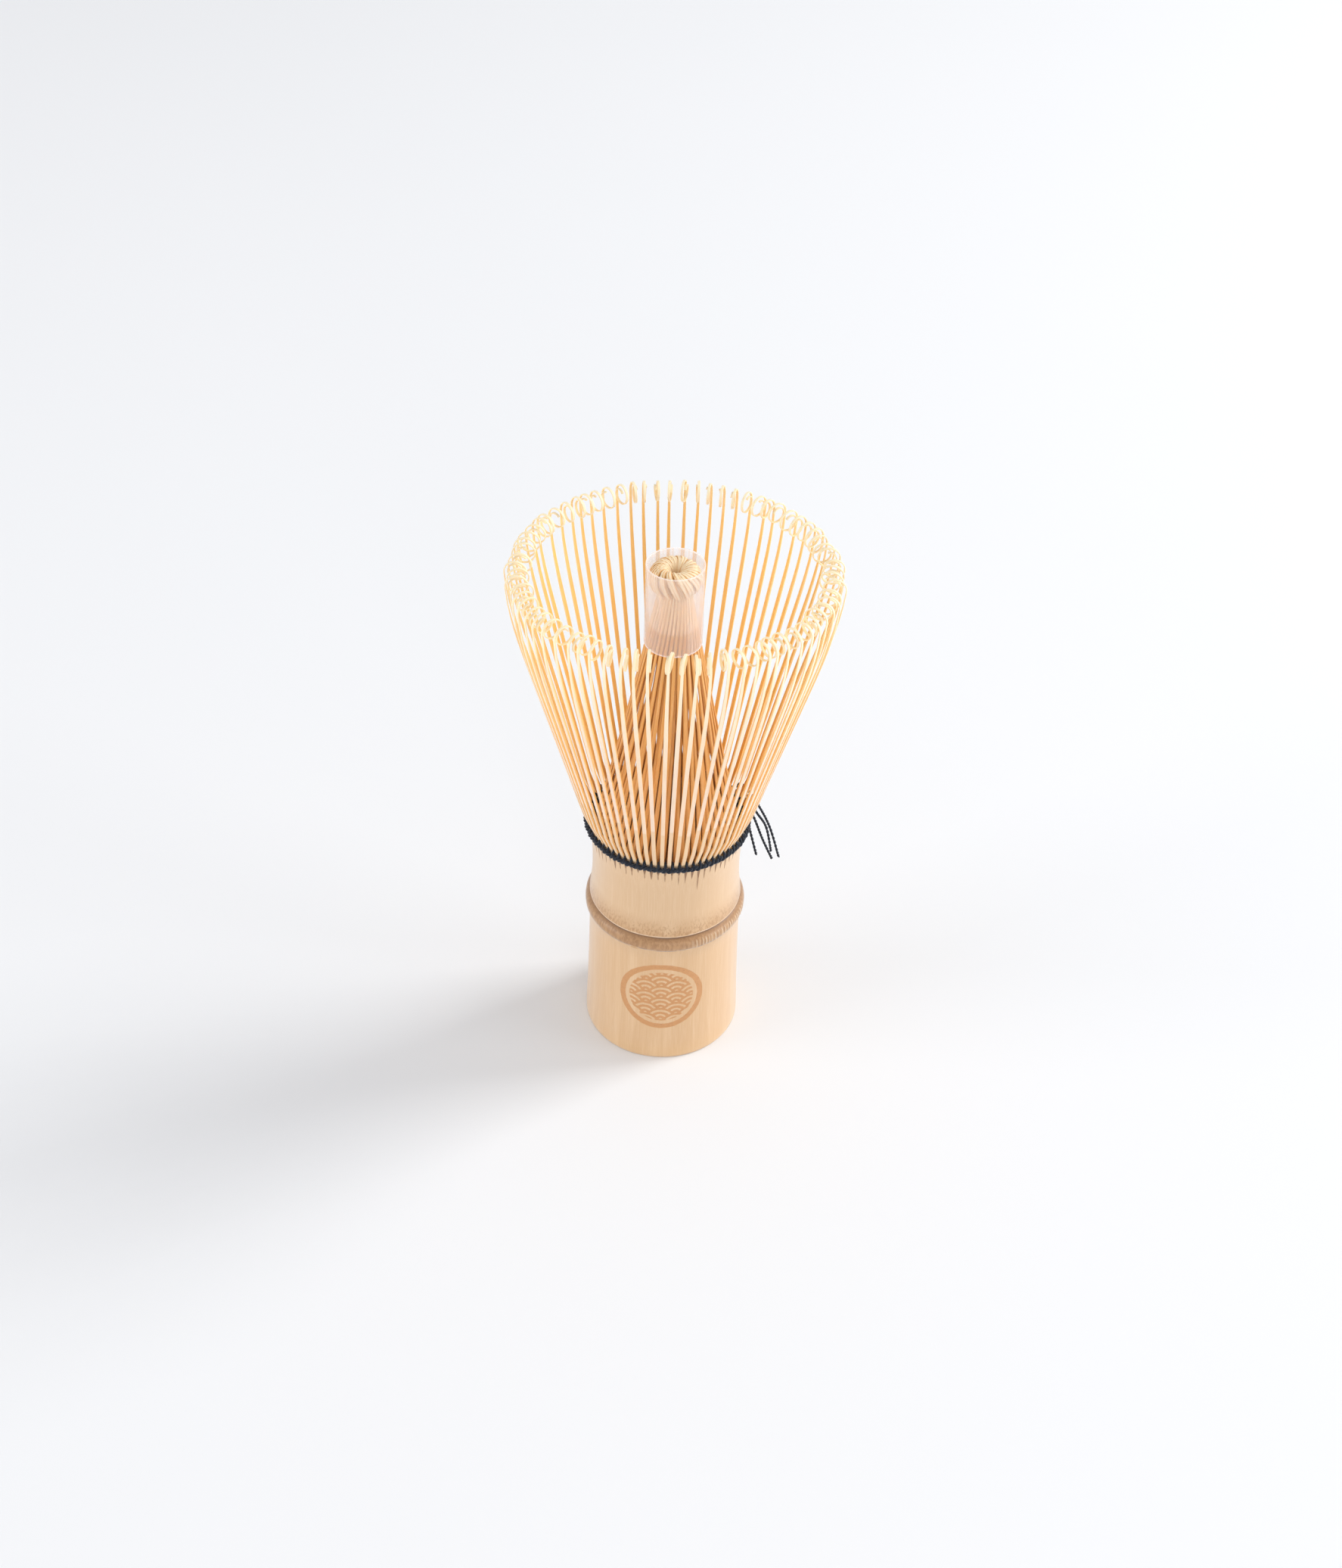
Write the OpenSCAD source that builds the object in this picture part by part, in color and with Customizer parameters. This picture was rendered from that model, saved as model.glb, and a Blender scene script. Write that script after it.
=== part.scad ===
// Bamboo tea whisk: one culm split at its top into an outer crown and an inner bundle of tines,
// laced with thread, with a clear sleeve over the bundle's head. The origin is the middle of the
// foot, and +Z runs up the culm's axis.

/* [Culm] */
// Outer radius at the foot
foot_r = 14.85; // [12:0.05:18]
// Outer radius at the waist, between the node and the lacing
waist_r = 13.7; // [11.4:0.1:16.5]
// Outer radius where the culm is split
split_r = 14.4; // [12:0.1:17.5]
// Height of the split, where the tines leave the culm
split_z = 48; // [39:0.1:58]
// Height of the node's ridge above the foot
node_z = 29.5; // [24:0.1:35.5]
// How far the node's ridge stands out of the culm below it
ridge_h = 0.75; // [0.3:0.1:1.5]
// Thickness of the node's wall across the inside of the culm
diaphragm_t = 2.6; // [1.5:0.1:4]
// Thickness of the culm's wall at the foot
foot_wall = 3.45; // [2.5:0.05:4.5]
// Thickness of the culm's wall at the split
split_wall = 3.5; // [2.5:0.1:4.5]

/* [Outer tines] */
// Number of sections that the culm is split into
sections = 18; // [18]
// Outer tines cut from each section
tines_each = 4; // [3:1:4]
// Width of an outer tine
tine_w = 0.72; // [0.5:0.01:0.9]
// Thickness of an outer tine where it leaves the culm
tine_root_t = 0.36; // [0.25:0.01:0.45]
// Thickness of an outer tine at its curled tip
tine_tip_t = 0.2; // [0.12:0.01:0.25]
// Lean of an outer tine from upright, in degrees
tine_lean = 15.6; // [13:0.1:18.8]
// Lean of an outer tine just above the lacing, which presses it inwards
root_lean = 23; // [18:0.5:28]
// Length of the steeper stretch above the lacing
root_l = 4.5; // [3:0.1:6]
// Length of the straight flare above that
flare_l = 33; // [27:0.5:40]
// Length over which a tine bends back to upright
bend_l = 17; // [14:0.5:21]
// Outer diameter of a tip's curl
curl_d = 3.9; // [3:0.1:4.7]
// Turns in a curl
curl_turns = 1.35; // [1:0.05:1.5]

/* [Inner bundle] */
// Width of an inner tine at its root
inner_root_w = 0.6; // [0.4:0.01:0.7]
// Thickness of an inner tine
inner_t = 0.24; // [0.15:0.01:0.28]
// Height of the bundle's neck above the roots of the tines
bundle_h = 48.6; // [40:0.1:60]
// Radius of the bundle's neck
neck_r = 2.88; // [2.4:0.02:3.5]
// Height of the bundle's folded head above its neck
head_h = 6; // [5:0.1:7]
// Swirl of an inner tine from root to neck, in degrees
bundle_swirl = 14; // [0:1:25]
// Swirl of an inner tine over the head, in degrees
head_swirl = 46; // [0:1:60]

/* [Sleeve] */
// Outer radius of the sleeve
sleeve_r = 5.1; // [4.25:0.05:6.2]
// Wall of the sleeve
sleeve_wall = 0.22; // [0.14:0.02:0.3]
// Length of the sleeve
sleeve_l = 15.6; // [13:0.1:20]
// How far the sleeve stands above the bundle's head
sleeve_over = 0.9; // [0.5:0.1:2]
// Clearance between the sleeve and the bundle inside it
sleeve_gap = 0.1; // [0.06:0.01:0.2]

/* [Lacing] */
// Diameter of the outer lacing thread
thread_d = 0.8; // [0.6:0.05:1.05]
// Diameter of the inner lacing thread
inner_thread_d = 0.76; // [0.6:0.02:0.9]
// Clearance between the thread and the bamboo
thread_gap = 0.06; // [0.05:0.01:0.15]
// Diameter of the knot
knot_d = 2.2; // [1.8:0.1:2.7]
// Diameter of the loose thread ends
tail_d = 0.44; // [0.34:0.02:0.54]
// Side of the lacing that the knot is on, in degrees from +X
knot_angle = 34; // [30:1:38]

/* [Hidden] */
// Height of the lowest point of a moving tine above the culm's end face
split_gap = 0.1;
// Depth and width of the nick between two tines, cut into the culm's end
nick_depth = 2.4;
nick_w = 0.5;
// Rounding of the foot's edges
foot_edge = 0.4;
// Shortest distance between two pieces that lie beside each other
skin = 0.03;
// Clearance beside the thread where it crosses between two tines
crossing_gap = 0.08;
// Clearance between neighbouring inner tines at the neck
neck_gap = 0.045;
// Clearance between the two layers of inner tines
layer_gap = 0.2;
// Length below the neck over which an inner tine keeps its narrow width
narrow_l = 12;
// Clearance of the head inside the rest of the bundle, and its middle's offset towards the axis
head_gap = 0.15;
head_inset = 0.33;
// Distance of a loose end's start from the knot's surface
end_gap = 0.18;
// Facets in a whole turn of a curl
curl_steps = 14;
// Segments of a tine's upper bend
bend_steps = 4;
// Number of different curls, which follow each other round the crown
curl_kinds = 9;
// Steps of an inner tine's fold over the head, the angle it starts at and the angle it turns
head_steps = 11;
fold_from = 172;
fold_turn = 234;

tine_count = sections * tines_each;
pitch = 360 / tine_count;
root_z = split_z + split_gap;
hollow_r = foot_r - foot_wall;
upper_hollow_r = split_r - split_wall;
// The lacing lies round the roots of the tines
lacing_z = root_z + thread_d / 2;
ring_r = split_r + thread_gap + thread_d / 2;
inner_ring_r = split_r - tine_root_t - thread_gap - inner_thread_d / 2;
// The straight stretch of a tine that stands behind the lacing
upright_l = thread_d + thread_gap;

// Inner tines start inside the inner lacing thread, alternate ones turned into a second layer
inner_root_r = inner_ring_r - inner_thread_d / 2 - thread_gap - inner_t / 2;
layer_step = inner_t + layer_gap;
neck_z = root_z + bundle_h;
// Tines take turns in the two layers, so two pitches lie between neighbours at the neck
inner_neck_w = 2 * (neck_r - inner_t / 2 - layer_step) * sin(pitch) - neck_gap;
crossing_d = 2 * (split_r - tine_root_t) * sin(pitch / 2) - tine_w - 2 * crossing_gap;
sleeve_top = neck_z + head_h + sleeve_over;
sleeve_bottom = sleeve_top - sleeve_l;
bundle_r = sleeve_r - sleeve_wall - sleeve_gap - inner_t / 2;
head_r = bundle_r - head_gap;

knot_r = ring_r + thread_d / 2 + knot_d / 2 + skin;
knot_at = [knot_r * cos(knot_angle), knot_r * sin(knot_angle), lacing_z];

function numbered(name, n) = str(name, n < 10 ? "_0" : "_", n);
OUTER_NAMES = [for (s = [1:sections]) numbered("outer_tines", s)];
INNER_NAMES = [for (s = [1:sections]) numbered("inner_tines", s)];

// ---------------------------------------------------------------- shared functions

// A fixed value from -1 to 1 for tine n, different for each kind of variation
function vary(n, kind) =
    let (v = sin(n * 127.1 + kind * 311.7) * 43.7585)
    2 * (v - floor(v)) - 1;

// Smooth step from 0 at a to 1 at b
function ease(x, a, b) =
    let (t = min(1, max(0, (x - a) / (b - a))))
    t * t * (3 - 2 * t);

function unit(v) = v / norm(v);

// Faces of a tube of n-sided rings, the rings counted from its start
function tube_faces(rings, n) = concat(
    [[for (j = [0:n - 1]) j]],
    [for (k = [0:rings - 2], j = [0:n - 1])
        let (a = k * n + j, b = k * n + (j + 1) % n)
        [a, a + n, b + n]],
    [for (k = [0:rings - 2], j = [0:n - 1])
        let (a = k * n + j, b = k * n + (j + 1) % n)
        [a, b + n, b]],
    [[for (j = [n - 1:-1:0]) (rings - 1) * n + j]]);

// Direction of a path at point k
function heading(path, k) =
    unit(path[min(k + 1, len(path) - 1)] - path[max(k - 1, 0)]);

// ---------------------------------------------------------------- culm

// Half section of the culm's skin, from the foot to the split
function culm_skin() =
    let (below_r = foot_r - 0.55, above_r = waist_r + 0.25)
    [[foot_r - foot_edge, 0],
     [foot_r - foot_edge * 0.3, foot_edge * 0.3],
     [foot_r, foot_edge],
     [foot_r - 0.35, node_z * 0.4],
     [below_r, node_z - 2.6],
     [below_r + ridge_h * 0.55, node_z - 1.5],
     [below_r + ridge_h, node_z - 0.5],
     [below_r + ridge_h, node_z + 0.3],
     [below_r + ridge_h * 0.5, node_z + 1.0],
     [above_r - 0.1, node_z + 1.5],
     [above_r + 0.1, node_z + 2.3],
     [waist_r, (node_z + split_z) / 2],
     [waist_r + 0.12, split_z - 4.5],
     [split_r, split_z]];

module culm_blank() {
    rotate_extrude($fn = 96)
        polygon(concat([[0, 0]], culm_skin(), [[0, split_z]]));
}

// A V between neighbouring tines, its point down
module nick() {
    translate([split_r - 2, 0, split_z])
        rotate([90, 0, 90])
            linear_extrude(4)
                polygon([[0, -nick_depth], [nick_w / 2, 1], [-nick_w / 2, 1]]);
}

module culm() {
    color("burlywood")
        difference() {
            culm_blank();
            translate([0, 0, -1])
                cylinder(h = node_z - diaphragm_t / 2 + 1, r = hollow_r, $fn = 96);
            translate([0, 0, node_z + diaphragm_t / 2])
                cylinder(h = split_z, r = upper_hollow_r, $fn = 96);
            for (i = [0:tine_count - 1])
                rotate([0, 0, i * pitch])
                    nick();
        }
}

// ---------------------------------------------------------------- outer tines

// Radius of curvature of a curl after a turn share u, tightening inwards
function curl_radius(d, u) = d / 2 * (1.06 - 0.34 * u);

// Headings of the tine's centre line, in degrees outwards of upright, with each step's length
function tine_steps(lean, d, turns) = concat(
    [[0, upright_l], [lean + root_lean - tine_lean, root_l], [lean, flare_l]],
    [for (k = [1:bend_steps])
        [lean * (1 - 0.75 * pow((k - 0.5) / bend_steps, 2)), bend_l / bend_steps]],
    [for (k = [0:round(turns * curl_steps) - 1])
        let (u = (k + 0.5) / curl_steps)
        [lean * 0.25 - 360 * u, 2 * curl_radius(d, u) * sin(180 / curl_steps)]]);

// Points reached by following the steps from a start
function follow(steps, k = 0, at = [0, 0]) =
    k == len(steps)
        ? [at]
        : concat([at], follow(steps, k + 1,
            at + steps[k][1] * [sin(steps[k][0]), cos(steps[k][0])]));

// Side view of a tine about its centre line, thinning to its tip
module tine_side(lean, d, turns) {
    steps = tine_steps(lean, d, turns);
    line = follow(steps);
    last = len(line) - 1;
    half = [for (k = [0:last])
        (tine_root_t + (tine_tip_t - tine_root_t) * ease(k, 2, 3 + bend_steps)) / 2];
    across = [for (k = [0:last])
        let (a = k == 0 ? 0 : (steps[k - 1][0] + steps[min(k, last - 1)][0]) / 2)
        [cos(a), -sin(a)]];
    polygon(concat(
        [for (k = [0:last]) line[k] + half[k] * across[k]],
        [for (k = [last:-1:0]) line[k] - half[k] * across[k]]));
}

// Tine number n, with its own small lean, twist and curl
module outer_tine(n) {
    edge = n % tines_each == 0 || n % tines_each == tines_each - 1;
    still = edge ? 0.45 : 1;
    lean = tine_lean + 0.35 * vary(n, 1);
    d = curl_d * (1 + 0.07 * vary(n % curl_kinds, 2));
    turns = curl_turns + 0.14 * vary(n % curl_kinds, 3);
    rotate([0, 0, (n + 0.5) * pitch])
        translate([split_r - tine_root_t / 2, 0, root_z])
            rotate([0.45 * still * vary(n, 4), 0, 0])
                rotate([0, lean, 0])
                    rotate([0, 0, 3.5 * still * vary(n, 5)])
                        rotate([0, -lean, 0])
                            rotate([90, 0, 0])
                                linear_extrude(tine_w, center = true)
                                    tine_side(lean, d, turns);
}

// The outer tines of section s, counted from 1
module outer_section(s) {
    color("wheat")
        for (k = [0:tines_each - 1])
            outer_tine((s - 1) * tines_each + k);
}

// ---------------------------------------------------------------- inner tines

// Centre line of an inner tine as [radius, height, swirl], straight up the cone to the neck
function cone_stations(depth) =
    let (z1 = sleeve_bottom, dn = neck_r - inner_t / 2, cone_h = z1 - root_z)
    [for (z = concat([for (share = [0, 0.07, 0.3, 0.6, 0.85]) root_z + share * cone_h],
                     [for (share = [0, 0.55, 1]) z1 + share * (neck_z - z1)]))
        let (r = z < z1
            ? inner_root_r + (bundle_r - inner_root_r) * (z - root_z) / (z1 - root_z)
            : bundle_r + (dn - bundle_r) * (z - z1) / (neck_z - z1))
        [r - depth * ease(z, root_z + 0.05 * cone_h, root_z + 0.6 * cone_h), z,
         bundle_swirl * (z - root_z) / (neck_z - root_z)]];

// Over the head: up the middle, outwards, and down outside the neck
function head_stations(depth) =
    let (mid_r = (head_r + neck_r) / 2 - head_inset,
         half_w = head_r - mid_r - layer_step + depth,
         half_h = head_h / 2 - layer_step + depth,
         mid_z = neck_z + head_h / 2 - inner_t / 2)
    [for (k = [0:head_steps])
        let (a = fold_from - fold_turn * k / head_steps)
        [mid_r + half_w * cos(a), mid_z + half_h * sin(a),
         bundle_swirl + head_swirl * k / head_steps]];

// Both stretches as points about the axis
function inner_line(n) =
    let (depth = n % 2 == 0 ? 0 : layer_step)
    [for (p = concat(cone_stations(depth), head_stations(depth)))
        let (a = (n + 0.5) * pitch + p[2])
        [p[0] * cos(a), p[0] * sin(a), p[1]]];

// Width of an inner tine at height z
function inner_w(z) =
    let (share = min(1, (z - root_z) / (neck_z - narrow_l - root_z)))
    inner_root_w + (inner_neck_w - inner_root_w) * share;

module inner_tine(n) {
    line = inner_line(n);
    points = [for (k = [0:len(line) - 1])
        let (p = line[k],
             t = heading(line, k),
             round = unit([-p[1], p[0], 0]),
             w = unit(round - (round * t) * t) * inner_w(p[2]) / 2,
             v = cross(t, unit(w)) * inner_t / 2)
        each [p - w - v, p + w - v, p + w + v, p - w + v]];
    polyhedron(points, tube_faces(len(line), 4));
}

// The inner tines of section s, counted from 1
module inner_section(s) {
    color("sandybrown")
        for (k = [0:tines_each - 1])
            inner_tine((s - 1) * tines_each + k);
}

// ---------------------------------------------------------------- lacing

module thread_ring(r, d) {
    translate([0, 0, lacing_z])
        rotate_extrude($fn = 96)
            translate([r, 0])
                circle(d = d, $fn = 24);
}

module outer_lacing() {
    color("midnightblue")
        thread_ring(ring_r, thread_d);
}

module inner_lacing() {
    color("midnightblue")
        thread_ring(inner_ring_r, inner_thread_d);
}

// The thread where it passes between the tines, from the outer ring to the inner one
module lacing_crossings() {
    from_r = inner_ring_r + inner_thread_d / 2 + skin;
    to_r = ring_r - thread_d / 2 - skin;
    color("midnightblue")
        for (i = [0:tine_count - 1])
            rotate([0, 0, i * pitch])
                translate([from_r, 0, lacing_z])
                    rotate([0, 90, 0])
                        cylinder(h = to_r - from_r, d = crossing_d, $fn = 16);
}

module lacing_knot() {
    color("midnightblue")
        translate(knot_at)
            sphere(d = knot_d, $fn = 24);
}

// Routes of the loose ends: the direction in which each leaves the knot's centre, then points
// from the place where it leaves the knot's surface
END_ROUTES = [
    [[0.1, -1.2, -0.4], [1.1, -1.5, -3.5], [2.0, -2.5, -6.9], [3.4, -3.8, -11.7]],
    [[0.4, -0.6, -0.95], [2.3, -1.2, -4.5], [4.1, -2.8, -8.4], [6.1, -3.8, -12.4]],
    [[0.85, -0.5, -0.6], [2.2, -0.7, -4.0], [4.2, -1.7, -6.8], [5.4, -2.9, -11.8]],
    [[1.15, 0.1, -0.3], [2.4, -0.3, -3.8], [4.7, -1.2, -8.2], [6.7, -2.9, -14.1]]];

// A curve through four points that starts and ends on the first and last
function through(p, t) =
    let (s = t * 3, k = min(2, floor(s)), u = s - k,
         a = p[max(0, k - 1)], b = p[k], c = p[k + 1], d = p[min(3, k + 2)])
    b + u / 2 * (c - a) + u * u / 2 * (2 * a - 5 * b + 4 * c - d)
        + u * u * u / 2 * (3 * b - a - 3 * c + d);

module thread_end(route) {
    rings = 14;
    sides = 8;
    start = unit(route[0]) * (knot_d / 2 + end_gap);
    course = [[0, 0, 0], route[1], route[2], route[3]];
    line = [for (k = [0:rings - 1]) through(course, k / (rings - 1))];
    points = [for (k = [0:rings - 1])
        let (t = heading(line, k),
             e = unit(cross([0, 1, 0], t)),
             f = cross(t, e))
        for (j = [0:sides - 1])
            line[k] + tail_d / 2 * (cos(j * 360 / sides) * e + sin(j * 360 / sides) * f)];
    color("midnightblue")
        translate(knot_at + start)
            polyhedron(points, tube_faces(rings, sides));
}

// ---------------------------------------------------------------- sleeve

module tip_sleeve() {
    color("lavender", 0.5)
        translate([0, 0, sleeve_bottom])
            difference() {
                cylinder(h = sleeve_l, r = sleeve_r, $fn = 96);
                translate([0, 0, -1])
                    cylinder(h = sleeve_l + 2, r = sleeve_r - sleeve_wall, $fn = 96);
            }
}

// ---------------------------------------------------------------- nodes

culm();
outer_lacing();
inner_lacing();
lacing_crossings();
lacing_knot();
thread_end(END_ROUTES[0]);  // thread_end_1
thread_end(END_ROUTES[1]);  // thread_end_2
thread_end(END_ROUTES[2]);  // thread_end_3
thread_end(END_ROUTES[3]);  // thread_end_4
tip_sleeve();
for (s = [1:sections]) {
    outer_section(s);
    inner_section(s);
}
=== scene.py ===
"""A bamboo tea whisk dressed over its frame: culm, outer crown, inner bundle, lacing and sleeve."""
import logging
import math
from dataclasses import dataclass, field
from enum import Enum
from typing import Callable, Sequence

import bmesh
import bpy
import numpy as np
from mathutils import Matrix, Vector


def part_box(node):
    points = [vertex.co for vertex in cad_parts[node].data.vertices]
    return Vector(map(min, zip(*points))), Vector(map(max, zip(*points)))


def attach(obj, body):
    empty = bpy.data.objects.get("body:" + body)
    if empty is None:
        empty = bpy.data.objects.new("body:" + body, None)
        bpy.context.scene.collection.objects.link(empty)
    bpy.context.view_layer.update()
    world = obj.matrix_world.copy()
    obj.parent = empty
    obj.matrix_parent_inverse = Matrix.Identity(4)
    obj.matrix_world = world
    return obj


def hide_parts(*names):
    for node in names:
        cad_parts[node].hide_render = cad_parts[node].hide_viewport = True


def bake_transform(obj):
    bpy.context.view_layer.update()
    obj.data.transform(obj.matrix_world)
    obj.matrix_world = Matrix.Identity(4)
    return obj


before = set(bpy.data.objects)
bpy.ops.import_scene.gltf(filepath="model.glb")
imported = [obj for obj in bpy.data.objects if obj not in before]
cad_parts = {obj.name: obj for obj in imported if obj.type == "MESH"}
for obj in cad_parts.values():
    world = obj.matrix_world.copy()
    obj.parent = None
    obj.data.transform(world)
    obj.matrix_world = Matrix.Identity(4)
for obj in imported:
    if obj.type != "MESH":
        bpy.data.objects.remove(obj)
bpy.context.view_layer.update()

MM = 0.001
LOG = logging.getLogger("whisk")
TINES_EACH = 4
SECTIONS = 18
TINE_COUNT = SECTIONS * TINES_EACH
PITCH = math.tau / TINE_COUNT


class Body(Enum):
    """Bodies that the pieces ride on."""

    ROOT = "root"
    SLEEVE = "sleeve"


class Slot(Enum):
    """Material slots of the record."""

    CULM = "bamboo_culm"
    OUTER = "bamboo_outer"
    INNER = "bamboo_inner"
    THREAD = "thread"
    SLEEVE = "clear_sleeve"


# ---- shared sums


def vary(number: int, kind: int) -> float:
    """Gives a fixed value from -1 to 1.

    Args:
        number: Number of the tine or piece.
        kind: Which of its variations is wanted.

    Returns:
        The value, always the same for the same two numbers.
    """
    value = math.sin(math.radians(number * 127.1 + kind * 311.7)) * 43.7585
    return 2 * (value - math.floor(value)) - 1


def ease(x: float, low: float, high: float) -> float:
    """Smooth step from 0 at low to 1 at high."""
    t = min(1.0, max(0.0, (x - low) / (high - low)))
    return t * t * (3 - 2 * t)


def between(x: float, points: Sequence[tuple[float, float]]) -> float:
    """Straight-line value at x through points of (x, value)."""
    return float(np.interp(x, [p[0] for p in points], [p[1] for p in points]))


def polar(radius: float, angle: float, height: float) -> Vector:
    """Point at a radius and angle about the whisk's axis."""
    return Vector((radius * math.cos(angle), radius * math.sin(angle), height))


def tangents(line: np.ndarray, closed: bool) -> np.ndarray:
    """Unit direction of a line at each of its points."""
    ahead = np.roll(line, -1, 0) if closed else np.vstack([line[1:], line[-1:]])
    behind = np.roll(line, 1, 0) if closed else np.vstack([line[:1], line[:-1]])
    tangent = ahead - behind
    return tangent / np.linalg.norm(tangent, axis=1)[:, None]


@dataclass(frozen=True)
class Layout:
    """Places that the pieces share, in metres, read from the frame."""

    split_z: float
    root_z: float
    ring_z: float
    ring_r: float
    inner_ring_r: float
    knot: Vector
    sleeve_r: float
    sleeve_low: float
    sleeve_top: float
    head_top: float

    @classmethod
    def from_frame(cls) -> "Layout":
        """Reads the boxes of the nodes that the other pieces are placed from."""
        ring_low, ring_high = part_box("outer_lacing")
        inner_low, inner_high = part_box("inner_lacing")
        knot_low, knot_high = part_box("lacing_knot")
        sleeve_low, sleeve_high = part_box("tip_sleeve")
        return cls(
            split_z=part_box("culm")[1].z,
            root_z=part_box("outer_tines_01")[0].z,
            ring_z=(ring_low.z + ring_high.z) / 2,
            ring_r=ring_high.x - (ring_high.z - ring_low.z) / 2,
            inner_ring_r=inner_high.x - (inner_high.z - inner_low.z) / 2,
            knot=(knot_low + knot_high) / 2,
            sleeve_r=sleeve_high.x,
            sleeve_low=sleeve_low.z,
            sleeve_top=sleeve_high.z,
            head_top=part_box("inner_tines_01")[1].z,
        )


# ---- shader board


def operator(operation: str, mirrored: bool = False) -> Callable:
    """Makes an operator of Signal.

    Args:
        operation: The Math node's operation.
        mirrored: Whether the other value comes first.

    Returns:
        A method that adds the node.
    """

    def apply(self: "Signal", other: "Signal | float") -> "Signal":
        """Adds the node to the signal's board."""
        first, second = (other, self) if mirrored else (self, other)
        return self.board.math(operation, first, second)

    return apply


class Signal:
    """A shader socket that adds Math nodes to its board when it is used in an expression."""

    def __init__(self, board: "Board", socket: bpy.types.NodeSocket) -> None:
        """Keeps the socket and the board that it is on."""
        self.board = board
        self.socket = socket

    __add__ = __radd__ = operator("ADD")
    __mul__ = __rmul__ = operator("MULTIPLY")
    __sub__ = operator("SUBTRACT")
    __rsub__ = operator("SUBTRACT", mirrored=True)
    __truediv__ = operator("DIVIDE")
    __lt__ = operator("LESS_THAN")


Colour = tuple[float, float, float]


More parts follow.
